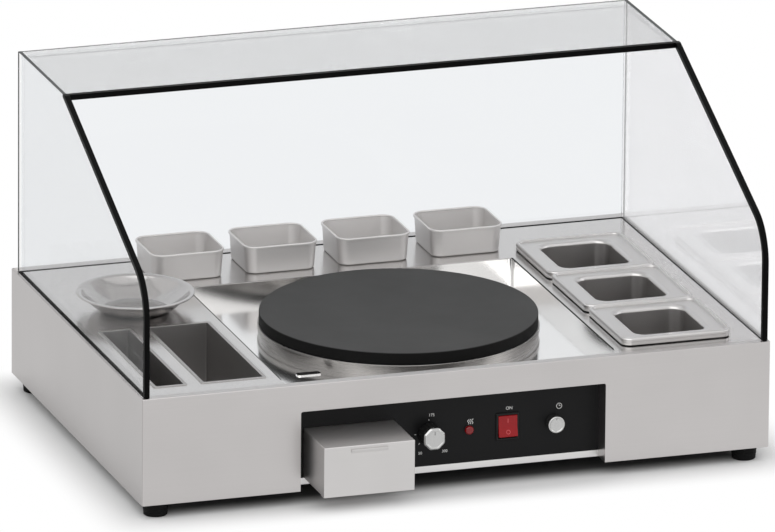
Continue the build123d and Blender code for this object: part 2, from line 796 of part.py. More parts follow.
with BuildPart() as control_fascia:
    block((notch_left - fascia_margin, fascia_y, lip_top),
          (notch_right + fascia_margin, fascia_back_y, notch_top + fascia_margin))
    block((drawer_x - drawer_mouth_width / 2, fascia_y, lip_top - sheet),
          (drawer_x + drawer_mouth_width / 2, fascia_back_y, drawer_mouth_top), mode=Mode.SUBTRACT)
    with BuildSketch(fascia_front):
        with Locations((temp_x, control_z), (timer_x, control_z)):
            Circle(bush_radius + fit_gap)
        with Locations((lamp_x, control_z)):
            Circle(lamp_barrel_radius + fit_gap)
        with Locations((switch_x, control_z)):
            Rectangle(switch_body_width + 2 * fit_gap, switch_body_height + 2 * fit_gap)
    extrude(amount=-fascia_thickness, mode=Mode.SUBTRACT)
control_fascia.part.label = "control_fascia"
export_step(control_fascia.part, "parts/control_fascia.step")


def fascia_plane(proud):
    """A plane parallel to the fascia, this far in front of its face, drawn in x and z."""
    return Plane.XZ.offset(-fascia_y + proud)


# Thermostat, its spindle and the knob
thermostat_size = 44.0
thermostat_deep = 30.0
bush_proud = 4.0
body_corner = 3.0
spindle_end_gap = 1.0
knob_gap = 1.0
temp_knob_radius = 16.5
temp_skirt_height = 21.0
temp_cap_flats = 32.0
temp_cap_height = 7.0
grip_count = 16
grip_radius = 2.0
grip_offset = 0.8
hub_gap = 1.0
mark_width = 1.4
mark_depth = 0.5
cap_sides = 8
cap_corner = 3.0
cap_bevel = 2.0
cap_mark_offset = 1.0

with BuildPart() as thermostat_body:
    block((temp_x - thermostat_size / 2, fascia_back_y, control_z - thermostat_size / 2),
          (temp_x + thermostat_size / 2, fascia_back_y + thermostat_deep, control_z + thermostat_size / 2))
    fillet(thermostat_body.edges().filter_by(Axis.Y), body_corner)
    with BuildSketch(fascia_plane(bush_proud)):
        with Locations((temp_x, control_z)):
            Circle(bush_radius)
    extrude(amount=-(bush_proud + fascia_thickness))
    with BuildSketch(fascia_plane(bush_proud)):
        with Locations((temp_x, control_z)):
            Circle(spindle_radius + running_clearance)
    extrude(amount=-(bush_proud + fascia_thickness + thermostat_deep / 2), mode=Mode.SUBTRACT)
thermostat_body.part.label = "thermostat_body"
export_step(thermostat_body.part, "parts/thermostat_body.step")

spindle_proud = knob_gap + temp_skirt_height
with BuildPart() as temp_knob_spindle:
    with BuildSketch(fascia_plane(spindle_proud)):
        with Locations((temp_x, control_z)):
            Circle(spindle_radius)
    extrude(amount=-(spindle_proud + fascia_thickness + thermostat_deep / 2 - spindle_end_gap))
temp_knob_spindle.part.label = "temp_knob_spindle"
export_step(temp_knob_spindle.part, "parts/temp_knob_spindle.step")

with BuildPart() as temp_knob_skirt:
    with BuildSketch(fascia_plane(knob_gap)):
        with Locations((temp_x, control_z)):
            Circle(temp_knob_radius)
            with PolarLocations(temp_knob_radius + grip_offset, grip_count):
                Circle(grip_radius, mode=Mode.SUBTRACT)
            Circle(bush_radius + hub_gap, mode=Mode.SUBTRACT)
    extrude(amount=bush_proud)
    with BuildSketch(fascia_plane(knob_gap + bush_proud)):
        with Locations((temp_x, control_z)):
            Circle(temp_knob_radius)
            with PolarLocations(temp_knob_radius + grip_offset, grip_count):
                Circle(grip_radius, mode=Mode.SUBTRACT)
            Circle(spindle_radius, mode=Mode.SUBTRACT)
    extrude(amount=temp_skirt_height - bush_proud)
temp_knob_skirt.part.label = "temp_knob_skirt"
export_step(temp_knob_skirt.part, "parts/temp_knob_skirt.step")

with BuildPart() as temp_knob_cap:
    with BuildSketch(fascia_plane(knob_gap + temp_skirt_height)) as cap_outline:
        with Locations((temp_x, control_z)):
            RegularPolygon(temp_cap_flats / 2, cap_sides, major_radius=False, rotation=180 / cap_sides)
        fillet(cap_outline.vertices(), cap_corner)
    extrude(amount=temp_cap_height)
    chamfer(temp_knob_cap.faces().sort_by(Axis.Y)[0].edges(), cap_bevel)
    with BuildSketch(fascia_plane(knob_gap + temp_skirt_height + temp_cap_height)):
        with Locations((temp_x, control_z + temp_cap_flats / 4 + cap_mark_offset)):
            SlotOverall(temp_cap_flats / 4, mark_width, rotation=90)
    extrude(amount=-mark_depth, mode=Mode.SUBTRACT)
temp_knob_cap.part.label = "temp_knob_cap"
export_step(temp_knob_cap.part, "parts/temp_knob_cap.step")

# Pilot lamp
lamp_bezel_radius = 7.4
lamp_bezel_proud = 1.0
lamp_bezel_round = 0.4
lamp_deep = 26.0
lens_radius = 5.4
lens_head_radius = 6.6
lens_head_height = 4.5
lens_round = 3.4
with BuildPart() as ready_lamp_holder:
    with BuildSketch(fascia_plane(lamp_bezel_proud)):
        with Locations((lamp_x, control_z)):
            Circle(lamp_bezel_radius)
    extrude(amount=-lamp_bezel_proud)
    fillet(ready_lamp_holder.edges().group_by(Axis.Y)[0], lamp_bezel_round)
    with BuildSketch(fascia_plane(0)):
        with Locations((lamp_x, control_z)):
            Circle(lamp_barrel_radius)
    extrude(amount=-lamp_deep)
    with BuildSketch(fascia_plane(lamp_bezel_proud)):
        with Locations((lamp_x, control_z)):
            Circle(lens_radius)
    extrude(amount=-lamp_deep / 2, mode=Mode.SUBTRACT)
ready_lamp_holder.part.label = "ready_lamp_holder"
export_step(ready_lamp_holder.part, "parts/ready_lamp_holder.step")

with BuildPart() as ready_lamp_lens:
    with BuildSketch(fascia_plane(lamp_bezel_proud + lens_head_height)):
        with Locations((lamp_x, control_z)):
            Circle(lens_head_radius)
    extrude(amount=-lens_head_height)
    fillet(ready_lamp_lens.edges().group_by(Axis.Y)[0], lens_round)
    with BuildSketch(fascia_plane(lamp_bezel_proud)):
        with Locations((lamp_x, control_z)):
            Circle(lens_radius)
    extrude(amount=-lamp_deep / 2)
ready_lamp_lens.part.label = "ready_lamp_lens"
export_step(ready_lamp_lens.part, "parts/ready_lamp_lens.step")

# Rocker switch: frame with a pocket, and the rocker on its two stub pins
switch_frame_width = 35.0
switch_frame_height = 41.0
switch_frame_proud = 2.5
switch_frame_corner = 2.5
switch_frame_bevel = 1.0
switch_deep = 24.0
rocker_width = 28.0
rocker_height = 32.5
rocker_play = 0.3
rocker_tip = 8.0
rocker_tip_inset = 1.0
rocker_shoulder = 2.5
rocker_waist = 6.2
rocker_back = 3.0
rocker_back_inset = 6.0
rocker_swing_play = 1.1
rocker_rest_tilt = 7.0
rocker_pivot_deep = 3.0
rocker_pin_radius = 1.5
rocker_pin_length = 1.0
pocket_deep = 11.0
pocket_height = rocker_height + 2 * rocker_swing_play
pocket_half_width = rocker_width / 2 + rocker_play
pivot_y = fascia_y + rocker_pivot_deep

with BuildPart() as power_switch_frame:
    with BuildSketch(fascia_plane(switch_frame_proud)):
        with Locations((switch_x, control_z)):
            RectangleRounded(switch_frame_width, switch_frame_height, switch_frame_corner)
    extrude(amount=-switch_frame_proud)
    chamfer(power_switch_frame.faces().sort_by(Axis.Y)[0].edges(), switch_frame_bevel)
    block((switch_x - switch_body_width / 2, fascia_y, control_z - switch_body_height / 2),
          (switch_x + switch_body_width / 2, fascia_y + switch_deep, control_z + switch_body_height / 2))
    block((switch_x - pocket_half_width, fascia_y - 2 * switch_frame_proud, control_z - pocket_height / 2),
          (switch_x + pocket_half_width, fascia_y + pocket_deep, control_z + pocket_height / 2),
          mode=Mode.SUBTRACT)
    with Locations((switch_x, pivot_y, control_z)):
        Cylinder(rocker_pin_radius + running_clearance, 2 * pocket_half_width + 2 * rocker_pin_length,
                 rotation=(0, 90, 0), mode=Mode.SUBTRACT)
power_switch_frame.part.label = "power_switch_frame"
export_step(power_switch_frame.part, "parts/power_switch_frame.step")

tilt = radians(rocker_rest_tilt)
rocker_half = rocker_height / 2
rocker_plane = Plane(origin=(switch_x - rocker_width / 2, pivot_y, control_z),
                     x_dir=(0, cos(tilt), -sin(tilt)), z_dir=(1, 0, 0))
with BuildPart() as power_rocker:
    with BuildSketch(rocker_plane) as rocker_side:
        with BuildLine():
            Polyline(
                (-rocker_tip, rocker_half - rocker_tip_inset),
                (-rocker_waist, 0),
                (-rocker_tip, rocker_tip_inset - rocker_half),
                (rocker_shoulder - rocker_tip, -rocker_half),
                (rocker_back, rocker_back_inset - rocker_half),
                (rocker_back, rocker_half - rocker_back_inset),
                (rocker_shoulder - rocker_tip, rocker_half),
                close=True,
            )
        make_face()
    extrude(amount=rocker_width)
    with Locations((switch_x, pivot_y, control_z)):
        Cylinder(rocker_pin_radius, rocker_width + 2 * rocker_pin_length, rotation=(0, 90, 0))
power_rocker.part.label = "power_rocker"
export_step(power_rocker.part, "parts/power_rocker.step")

# Timer and its knob
timer_size = 38.0
timer_deep = 28.0
timer_knob_radius = 12.5
timer_knob_height = 15.0
timer_knob_round = 2.0
timer_mark_length = 4.0
timer_mark_inset = 3.0
timer_mark_depth = 1.2
with BuildPart() as timer_body:
    block((timer_x - timer_size / 2, fascia_back_y, control_z - timer_size / 2),
          (timer_x + timer_size / 2, fascia_back_y + timer_deep, control_z + timer_size / 2))
    fillet(timer_body.edges().filter_by(Axis.Y), body_corner)
    with BuildSketch(fascia_plane(bush_proud)):
        with Locations((timer_x, control_z)):
            Circle(bush_radius)
    extrude(amount=-(bush_proud + fascia_thickness))
    with BuildSketch(fascia_plane(bush_proud)):
        with Locations((timer_x, control_z)):
            Circle(spindle_radius + running_clearance)
    extrude(amount=-(bush_proud + fascia_thickness + timer_deep / 2), mode=Mode.SUBTRACT)
timer_body.part.label = "timer_body"
export_step(timer_body.part, "parts/timer_body.step")

with BuildPart() as timer_knob:
    with BuildSketch(fascia_plane(knob_gap)):
        with Locations((timer_x, control_z)):
            Circle(timer_knob_radius)
            Circle(bush_radius + hub_gap, mode=Mode.SUBTRACT)
    extrude(amount=bush_proud)
    with BuildSketch(fascia_plane(knob_gap + bush_proud)):
        with Locations((timer_x, control_z)):
            Circle(timer_knob_radius)
    extrude(amount=timer_knob_height - bush_proud)
    fillet(timer_knob.edges().filter_by(GeomType.CIRCLE).group_by(Axis.Y)[0], timer_knob_round)
    with BuildSketch(fascia_plane(knob_gap + timer_knob_height)):
        with Locations((timer_x, control_z + timer_knob_radius - timer_mark_inset)):
            SlotOverall(timer_mark_length, mark_width, rotation=90)
    extrude(amount=-timer_mark_depth, mode=Mode.SUBTRACT)
    with BuildSketch(fascia_plane(knob_gap + bush_proud)):
        with Locations((timer_x, control_z)):
            Circle(spindle_radius)
    extrude(amount=-(knob_gap + bush_proud + fascia_thickness + timer_deep / 2 - spindle_end_gap))
timer_knob.part.label = "timer_knob"
export_step(timer_knob.part, "parts/timer_knob.step")

# ---------------------------------------------------------------- crumb drawer and its runners
# The front is folded from one sheet: face, sides and a cover that hides the tray as far as the fascia
drawer_body_half = drawer_body_width / 2
drawer_back_y = drawer_body_y + drawer_length
drawer_bend = 1.2
tray_bend = 4.0
tray_corner = 3.0
tray_floor_bend = 2.5
with BuildPart() as drawer_tray:
    block((drawer_x - drawer_body_half, drawer_body_y, drawer_bottom),
          (drawer_x + drawer_body_half, drawer_back_y, drawer_top))
    fillet(drawer_tray.edges().filter_by(Axis.Y).group_by(Axis.Z)[0], tray_bend)
    block((drawer_x - drawer_body_half - drawer_flange, drawer_body_y, drawer_top - thin_sheet),
          (drawer_x + drawer_body_half + drawer_flange, drawer_back_y, drawer_top))
    with BuildSketch(Plane.XY.offset(drawer_bottom + thin_sheet)):
        with Locations((drawer_x, (drawer_body_y + drawer_back_y) / 2)):
            RectangleRounded(drawer_body_width - 2 * thin_sheet, drawer_length - 2 * thin_sheet,
                             tray_corner)
    extrude(amount=drawer_front_height, mode=Mode.SUBTRACT)
    fillet(drawer_tray.faces().filter_by(Axis.Z).group_by(Axis.Z)[1].edges(), tray_floor_bend)
drawer_tray.part.label = "drawer_tray"
export_step(drawer_tray.part, "parts/drawer_tray.step")

grip_below_top = 5.0
grip_edge = 1.5
grip_top = drawer_front_top - grip_below_top
with BuildPart() as drawer_front:
    half_front = drawer_width / 2
    cover_back_y = fascia_back_y + drawer_cover_overlap
    block((drawer_x - half_front, drawer_face_y, drawer_front_bottom),
          (drawer_x + half_front, cover_back_y, drawer_front_top))
    fillet(drawer_front.edges().filter_by(Axis.Y).group_by(Axis.Z)[-1], drawer_bend)
    fillet(drawer_front.faces().sort_by(Axis.Y)[0].edges(), drawer_bend)
    block((drawer_x - half_front + sheet, drawer_body_y, drawer_bottom),
          (drawer_x + half_front - sheet, cover_back_y, drawer_top), mode=Mode.SUBTRACT)
    block((drawer_x - half_front, drawer_face_y + drawer_front_depth, drawer_front_bottom),
          (drawer_x + half_front, cover_back_y, drawer_bottom), mode=Mode.SUBTRACT)
    with BuildSketch(Plane.YZ.offset(drawer_x - drawer_grip_width / 2)):
        with BuildLine():
            Polyline(
                (drawer_face_y, grip_top),
                (drawer_face_y - drawer_grip_proud, grip_top),
                (drawer_face_y - drawer_grip_proud, grip_top - grip_edge),
                (drawer_face_y, grip_top - drawer_grip_height),
                close=True,
            )
        make_face()
    extrude(amount=drawer_grip_width)
drawer_front.part.label = "drawer_front"
export_step(drawer_front.part, "parts/drawer_front.step")

runner_setback = 290.0
runner_back_y = front_y + runner_setback
web_x = drawer_body_half + runner_gap
with BuildPart() as drawer_runners:
    for hand in (-1, 1):
        low, high = sorted((drawer_x + hand * web_x, drawer_x + hand * (web_x + sheet)))
        block((low, fascia_back_y, base_top), (high, runner_back_y, runner_top))
        low, high = sorted((drawer_x + hand * web_x, drawer_x + hand * (web_x + runner_foot)))
        block((low, fascia_back_y, base_top), (high, runner_back_y, base_top + sheet))
drawer_runners.part.label = "drawer_runners"
export_step(drawer_runners.part, "parts/drawer_runners.step")

# ---------------------------------------------------------------- utensil troughs
for name, (x, width) in zip(("narrow", "wide"), trough_places):
    trough_bottom = deck_top - trough_depth
    with BuildPart() as trough:
        add(rounded_level(x, trough_y, trough_bottom, width, trough_length, trough_corner,
                          grow=trough_wall))
        extrude(amount=trough_depth)
        add(rounded_level(x, trough_y, deck_top, width + 2 * trough_lip, trough_length + 2 * trough_lip,
                          trough_corner, grow=trough_wall))
        extrude(amount=trough_wall)
        add(rounded_level(x, trough_y, trough_bottom + trough_wall, width, trough_length, trough_corner))
        extrude(amount=trough_depth, mode=Mode.SUBTRACT)
    trough.part.label = f"utensil_trough_{name}"
    export_step(trough.part, f"parts/utensil_trough_{name}.step")

# ---------------------------------------------------------------- dish, a spun bowl with a flat rim
dish_base_radius = dish_base_diameter / 2
bowl_radius = dish_diameter / 2 - dish_rim_width
bowl_height = dish_height - dish_rim_rise
bowl_centre = (bowl_radius**2 + bowl_height**2 - dish_base_radius**2) / (2 * bowl_height)
outer_sphere = (dish_base_radius**2 + bowl_centre**2) ** 0.5
inner_sphere = outer_sphere - dish_wall


def on_sphere(radius, height):
    """The bowl's radius at a height, on a sphere of this radius about the bowl's centre."""
    return (radius**2 - (height - bowl_centre) ** 2) ** 0.5


with BuildPart() as crepe_dish:
    with BuildSketch(Plane.XZ):
        with BuildLine():
            Line((0, 0), (dish_base_radius, 0))
            ThreePointArc(
                (dish_base_radius, 0),
                (on_sphere(outer_sphere, bowl_height / 2), bowl_height / 2),
                (bowl_radius, bowl_height),
            )
            Polyline(
                (bowl_radius, bowl_height),
                (dish_diameter / 2, dish_height - dish_wall),
                (dish_diameter / 2, dish_height),
                (on_sphere(inner_sphere, bowl_height), bowl_height + dish_wall / 2),
                (on_sphere(inner_sphere, bowl_height), bowl_height),
            )
            ThreePointArc(
                (on_sphere(inner_sphere, bowl_height), bowl_height),
                (on_sphere(inner_sphere, bowl_height / 2), bowl_height / 2),
                (on_sphere(inner_sphere, dish_wall), dish_wall),
            )
            Polyline((on_sphere(inner_sphere, dish_wall), dish_wall), (0, dish_wall), (0, 0))
        make_face()
    revolve(axis=Axis.Z)
crepe_dish_placed = crepe_dish.part.moved(Location((dish_x, front_y + dish_setback, deck_top)))
crepe_dish_placed.label = "crepe_dish"
export_step(crepe_dish_placed, "parts/crepe_dish.step")

# ---------------------------------------------------------------- deep pans: drawn bodies with a rolled lip
deep_pan_top = deck_top + deep_pan_rise
deep_pan_flat = deep_pan_top - deep_pan_step
lip_corner = 14.0
lip_wall = 1.2
lip_round = 3.0
mouth_bend = 6.0
floor_bend = 9.0
over_cut = 1.0
deep_pan_draft = degrees(atan(deep_pan_taper / deep_pan_depth))
for number, (x, y) in enumerate(deep_pan_places, start=1):
    with BuildPart() as deep_pan:
        add(rounded_level(x, y, deck_top, deep_pan_width, deep_pan_length, lip_corner))
        extrude(amount=deep_pan_rise)
        fillet(deep_pan.faces().sort_by(Axis.Z)[-1].edges(), lip_round)
        add(rounded_level(x, y, deck_top, deep_pan_width, deep_pan_length, lip_corner, grow=-lip_wall))
        extrude(amount=deep_pan_flat - lip_wall - deck_top, mode=Mode.SUBTRACT)
        add(rounded_level(x, y, deep_pan_flat, deep_pan_width, deep_pan_length, lip_corner,
                          grow=-deep_pan_bead))
        extrude(amount=deep_pan_step, mode=Mode.SUBTRACT)
    with BuildPart() as deep_body:
        add(rounded_level(x, y, deep_pan_flat - lip_wall / 2, deep_pan_mouth_width, deep_pan_mouth_length,
                          deep_pan_mouth_radius, grow=deep_pan_wall))
        extrude(amount=-(deep_pan_depth + deep_pan_wall - lip_wall / 2), taper=deep_pan_draft)
        fillet(deep_body.faces().sort_by(Axis.Z)[0].edges(), floor_bend + deep_pan_wall)
    with BuildPart() as deep_hollow:
        add(rounded_level(x, y, deep_pan_flat + over_cut, deep_pan_mouth_width, deep_pan_mouth_length,
                          deep_pan_mouth_radius))
        extrude(amount=-(deep_pan_depth + over_cut), taper=deep_pan_draft)
        fillet(deep_hollow.faces().sort_by(Axis.Z)[0].edges(), floor_bend)
    with BuildPart() as gastro_pan:
        add(deep_pan.part)
        add(deep_body.part)
        # the lip turns down into the body with a drawn bend, first its underside and then its mouth
        under_lip = deep_pan_flat - lip_wall
        underside = gastro_pan.faces().filter_by_position(Axis.Z, under_lip, under_lip)[0]
        fillet(underside.inner_wires()[0].edges(), mouth_bend - lip_wall)
        add(deep_hollow.part, mode=Mode.SUBTRACT)
        lip_face = gastro_pan.faces().filter_by_position(Axis.Z, deep_pan_flat, deep_pan_flat)[0]
        fillet(lip_face.inner_wires()[0].edges(), mouth_bend)
    gastro_pan.part.label = f"gastro_pan_{number}"
    export_step(gastro_pan.part, f"parts/gastro_pan_{number}.step")

# ---------------------------------------------------------------- small topping pans on the rear shelf
small_pan_top = deck_top + small_pan_height
small_pan_draft = degrees(atan(small_pan_taper / small_pan_height))
small_bead_height = 2.5
small_floor_bend = 2.0
small_bead_round = 1.0
for number in range(1, small_pan_count + 1):
    x = small_pan_x + (number - (small_pan_count + 1) / 2) * small_pan_pitch
    y = front_y + small_pan_setback
    with BuildPart() as small_body:
        add(rounded_level(x, y, small_pan_top, small_pan_width, small_pan_length, small_pan_corner))
        extrude(amount=-small_pan_height, taper=small_pan_draft)
        fillet(small_body.faces().sort_by(Axis.Z)[0].edges(), small_floor_bend + small_pan_wall)
        add(rounded_level(x, y, small_pan_top, small_pan_width, small_pan_length, small_pan_corner,
                          grow=small_pan_bead))
        extrude(amount=-small_bead_height)
        fillet(small_body.faces().sort_by(Axis.Z)[-1].edges(), small_bead_round)
    with BuildPart() as small_hollow:
        add(rounded_level(x, y, small_pan_top, small_pan_width, small_pan_length, small_pan_corner,
                          grow=-small_pan_wall))
        extrude(amount=-(small_pan_height - small_pan_wall), taper=small_pan_draft)
        fillet(small_hollow.faces().sort_by(Axis.Z)[0].edges(), small_floor_bend)
    with BuildPart() as topping_pan:
        add(small_body.part)
        add(small_hollow.part, mode=Mode.SUBTRACT)
    topping_pan.part.label = f"topping_pan_{number}"
    export_step(topping_pan.part, f"parts/topping_pan_{number}.step")

# ---------------------------------------------------------------- cable gland and terminal block
gland_inside = 14.0
gland_nut_height = 6.0
gland_flange = 6.0
gland_taper = 8.0
gland_nose_step = 1.0
rear_plane = Plane.XZ.offset(-back_y)
with BuildPart() as cable_gland:
    with BuildSketch(rear_plane):
        with Locations((gland_x, gland_z)):
            RegularPolygon(gland_hex / 2, 6, major_radius=False)
    extrude(amount=-gland_flange)
    with BuildSketch(Plane.XZ.offset(-back_y - gland_flange)):
        with Locations((gland_x, gland_z)):
            Circle(gland_hex / 2 - gland_nose_step)
    extrude(amount=-(gland_reach - gland_flange), taper=gland_taper)
    with BuildSketch(rear_plane):
        with Locations((gland_x, gland_z)):
            Circle(gland_thread / 2)
    extrude(amount=gland_inside)
    with BuildSketch(Plane.XZ.offset(-back_y + sheet)):
        with Locations((gland_x, gland_z)):
            RegularPolygon(gland_hex / 2, 6, major_radius=False)
    extrude(amount=gland_nut_height)
    with BuildSketch(Plane.XZ.offset(-back_y - gland_reach)):
        with Locations((gland_x, gland_z)):
            Circle(gland_bore / 2)
    extrude(amount=gland_reach + gland_inside, mode=Mode.SUBTRACT)
cable_gland.part.label = "cable_gland"
export_step(cable_gland.part, "parts/cable_gland.step")

terminal_ways = 3
terminal_pitch = 16.0
terminal_depth = 24.0
terminal_height = 22.0
terminal_setback = 90.0
terminal_y = back_y - terminal_setback
terminal_screw = 6.0
terminal_slot_width = 1.6
terminal_slot_depth = 4.0
with BuildPart() as terminal_block:
    with Locations((gland_x, terminal_y, base_top)):
        Box(terminal_ways * terminal_pitch + terminal_slot_depth, terminal_depth, terminal_height,
            align=CENTRE_LOW)
    with Locations((gland_x, terminal_y, base_top + terminal_height)):
        with GridLocations(terminal_pitch, terminal_depth / 2, terminal_ways, 2):
            Hole(terminal_screw / 2, depth=terminal_screw)
        with GridLocations(terminal_pitch, 0, terminal_ways - 1, 1):
            Box(terminal_slot_width, terminal_depth, 2 * terminal_slot_depth, mode=Mode.SUBTRACT)
terminal_block.part.label = "terminal_block"
export_step(terminal_block.part, "parts/terminal_block.step")
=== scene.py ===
# %% [markdown]
# # A countertop crepe station, dressed for its picture
#
# The solid model of the station comes in as a fixed frame: sixty sheet-metal, glass, iron and moulded
# pieces, each already in its place, in metres. This lesson gives them their finishes, and replaces the ones
# whose curves deserve more than a solid modeller's facets with surfaces worked out in numpy.

import bmesh
import bpy
import numpy as np
from mathutils import Matrix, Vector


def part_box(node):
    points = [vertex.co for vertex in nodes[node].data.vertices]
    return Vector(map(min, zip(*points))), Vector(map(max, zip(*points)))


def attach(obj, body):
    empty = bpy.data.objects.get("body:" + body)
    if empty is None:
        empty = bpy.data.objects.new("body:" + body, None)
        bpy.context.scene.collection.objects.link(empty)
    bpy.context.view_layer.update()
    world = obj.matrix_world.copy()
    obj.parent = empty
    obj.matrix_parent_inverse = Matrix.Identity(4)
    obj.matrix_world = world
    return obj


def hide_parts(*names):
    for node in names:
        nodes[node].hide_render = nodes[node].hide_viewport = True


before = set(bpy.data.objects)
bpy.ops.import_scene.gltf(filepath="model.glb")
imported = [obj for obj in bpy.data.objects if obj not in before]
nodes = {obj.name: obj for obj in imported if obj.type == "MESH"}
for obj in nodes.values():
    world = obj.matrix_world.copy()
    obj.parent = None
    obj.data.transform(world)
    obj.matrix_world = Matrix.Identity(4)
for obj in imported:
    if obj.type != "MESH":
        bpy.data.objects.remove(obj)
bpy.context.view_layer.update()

# %% [markdown]
# ## The camera
#
# A product photographer stands well back with a long lens, so that upright edges stay upright. The lens
# here is nearly 650 mm at twenty metres, turned 18 degrees to the left of the front and 17.5 degrees up.
# The camera's own axes are worked out from those angles, with half a degree of roll about the line of
# sight, and written straight into its matrix.

# %% Camera
MM = 0.001
CAMERA_DISTANCE = 20.0
AZIMUTH, ELEVATION, ROLL = np.radians([-18.32, 17.52, 0.5])
LENS_PIXELS, PICTURE_WIDTH, SENSOR = 13956.0, 775.0, 36.0
AIM = np.array([0.0, 21.75, 250.0]) * MM
SIDESTEP = np.array([-1.4, -11.7]) * MM

back = np.array([np.sin(AZIMUTH) * np.cos(ELEVATION), -np.cos(AZIMUTH) * np.cos(ELEVATION),
                 np.sin(ELEVATION)])
level = np.array([np.cos(AZIMUTH), np.sin(AZIMUTH), 0.0])
upright = np.cross(back, level)
right = np.cos(ROLL) * level + np.sin(ROLL) * upright
up = np.cos(ROLL) * upright - np.sin(ROLL) * level
eye = back * CAMERA_DISTANCE + right * SIDESTEP[0] + up * SIDESTEP[1] + AIM

camera_data = bpy.data.cameras.new("camera")
camera_data.sensor_width = SENSOR
camera_data.lens = LENS_PIXELS / PICTURE_WIDTH * SENSOR
camera_data.clip_end = 100
camera = bpy.data.objects.new("camera", camera_data)
bpy.context.scene.collection.objects.link(camera)
camera.matrix_world = Matrix([[right[i], up[i], back[i], eye[i]] for i in range(3)] + [[0, 0, 0, 1]])
bpy.context.scene.camera = camera
print("lens", round(camera_data.lens, 1), "mm")

# %% [markdown]
# ## Three helpers for materials
#
# Colours are picked as sRGB hex values, the way a paint chart gives them, and one function turns them into
# the linear numbers that a shader works with. A second one adds a node, sets its values and links its
# inputs. Values are set on sockets by name or number, and a link is an output socket given as a value. A
# third one starts a material off.

# %% Colour and node helpers
def linear(hex_colour):
    """Each channel c of an sRGB hex colour as c/12.92 below 0.04045, and ((c+0.055)/1.055)^2.4 above."""
    c = np.array([int(hex_colour[i:i + 2], 16) for i in (1, 3, 5)]) / 255
    return (*np.where(c <= 0.04045, c / 12.92, ((c + 0.055) / 1.055) ** 2.4), 1.0)


def add_node(tree, kind, values, **settings):
    """One shader node: settings are its properties, values its inputs, each a number, colour or output."""
    made = tree.nodes.new(kind)
    for key, value in settings.items():
        setattr(made, key, value)
    for key, value in values.items():
        if isinstance(value, bpy.types.NodeSocket):
            tree.links.new(value, made.inputs[key])
        else:
            made.inputs[key].default_value = value
    return made


def new_material(name):
    """An empty material, with its tree, its output and its place on the piece as a vector, in metres."""
    made = bpy.data.materials.new(name)
    made.use_nodes = True
    tree = made.node_tree
    tree.nodes.clear()
    output = tree.nodes.new("ShaderNodeOutputMaterial")
    place = tree.nodes.new("ShaderNodeTexCoord").outputs["Object"]
    return made, tree, output, place


# %% [markdown]
# ## Brushed stainless steel
#
# Catering cabinets are folded from 304 stainless sheet with a brushed finish: an abrasive belt leaves fine
# parallel scratches all along the sheet. They are far finer than a pixel, so what the eye gets is a
# reflection smeared across the scratches, a faint streak along them, and slow patches where the belt
# pressed harder. Noise squeezed along one axis gives the streaks. Each grain is drawn 0.5 mm wide, three
# times its real width, because a true one would vanish in the picture.

# %% Stainless steel
GRAIN_WIDTH, GRAIN_LENGTH = 0.5 * MM, 90.0 * MM
PATCH_SIZE = 143.0 * MM
SCRATCH_DEPTH = 0.2 * MM


def stainless(name, colour, roughness, along, streak=0.02, patch=0.03, relief=0.02, uneven=0.08):
    """Steel brushed along the axes named: one for a sheet, two for work that turned under the belt.

    Streaks are noise of GRAIN_WIDTH across and GRAIN_LENGTH along. They change the colour by up to 2 streak
    and the roughness by up to uneven, as shares. Patches of PATCH_SIZE change the colour by up to patch.
    """
    made, tree, output, place = new_material(name)
    stretch = [1 / GRAIN_LENGTH if axis in along else 1 / GRAIN_WIDTH for axis in "xyz"]
    grain_place = add_node(tree, "ShaderNodeMapping", {"Vector": place, "Scale": stretch})
    grain = add_node(tree, "ShaderNodeTexNoise", {"Vector": grain_place.outputs[0], "Scale": 1.0,
                                                  "Detail": 3.0, "Roughness": 0.6})
    slow = add_node(tree, "ShaderNodeTexNoise", {"Vector": place, "Scale": 1 / PATCH_SIZE, "Detail": 2.0})
    light = np.array(linear(colour))[:3]
    streaked = add_node(tree, "ShaderNodeMix", {
        0: grain.outputs["Fac"], 6: (*(light * (1 - 2 * streak)), 1),
        7: (*np.minimum(light * (1 + 2 * streak), 1), 1)}, data_type="RGBA")
    patched = add_node(tree, "ShaderNodeMapRange", {
        "Value": slow.outputs["Fac"], "From Min": 0.3, "From Max": 0.7,
        "To Min": 1 - patch, "To Max": 1 + patch / 2})
    colour_out = add_node(tree, "ShaderNodeVectorMath", {0: streaked.outputs[2], 1: patched.outputs[0]},
                          operation="MULTIPLY")
    rough = add_node(tree, "ShaderNodeMapRange", {
        "Value": grain.outputs["Fac"], "From Min": 0.25, "From Max": 0.75,
        "To Min": roughness * (1 - uneven), "To Max": roughness * (1 + uneven)})
    bump = add_node(tree, "ShaderNodeBump", {"Height": grain.outputs["Fac"], "Strength": relief,
                                             "Distance": SCRATCH_DEPTH})
    shader = add_node(tree, "ShaderNodeBsdfPrincipled", {
        "Base Color": colour_out.outputs[0], "Metallic": 1.0, "Roughness": rough.outputs[0],
        "Normal": bump.outputs[0]})
    tree.links.new(shader.outputs[0], output.inputs["Surface"])
    return made


def dress(material, *names):
    """Give frame pieces a material, in every slot that they have."""
    for name in names:
        piece = nodes[name]
        if not piece.material_slots:
            piece.data.materials.append(material)
        for held in piece.material_slots:
            held.material = material


# folded sheets, brushed lengthwise: an even sheen that is smeared across the grain
panel_steel = stainless("brushed_304_panel", "#c1bebd", 0.30, "x")
# painted shade: the side sheets are the panel's steel in a darker colour, standing in for the duller light on
# the sides
side_steel_painted_shade = stainless("brushed_304_side", "#aeabaa", 0.30, "y")
# a finer belt on the decks: they mirror what stands on them, softly
deck_steel = stainless("brushed_304_deck", "#cbc9c8", 0.20, "y", relief=0.01)
# bright rolled, so that batter wipes off: the well mirrors its own walls almost sharply
well_steel = stainless("bright_304_well", "#f0efee", 0.14, "x", relief=0.01)
# as it leaves the mill, unbrushed: pale and dull
base_steel = stainless("mill_finish_304_base", "#e2e1e0", 0.34, "x")
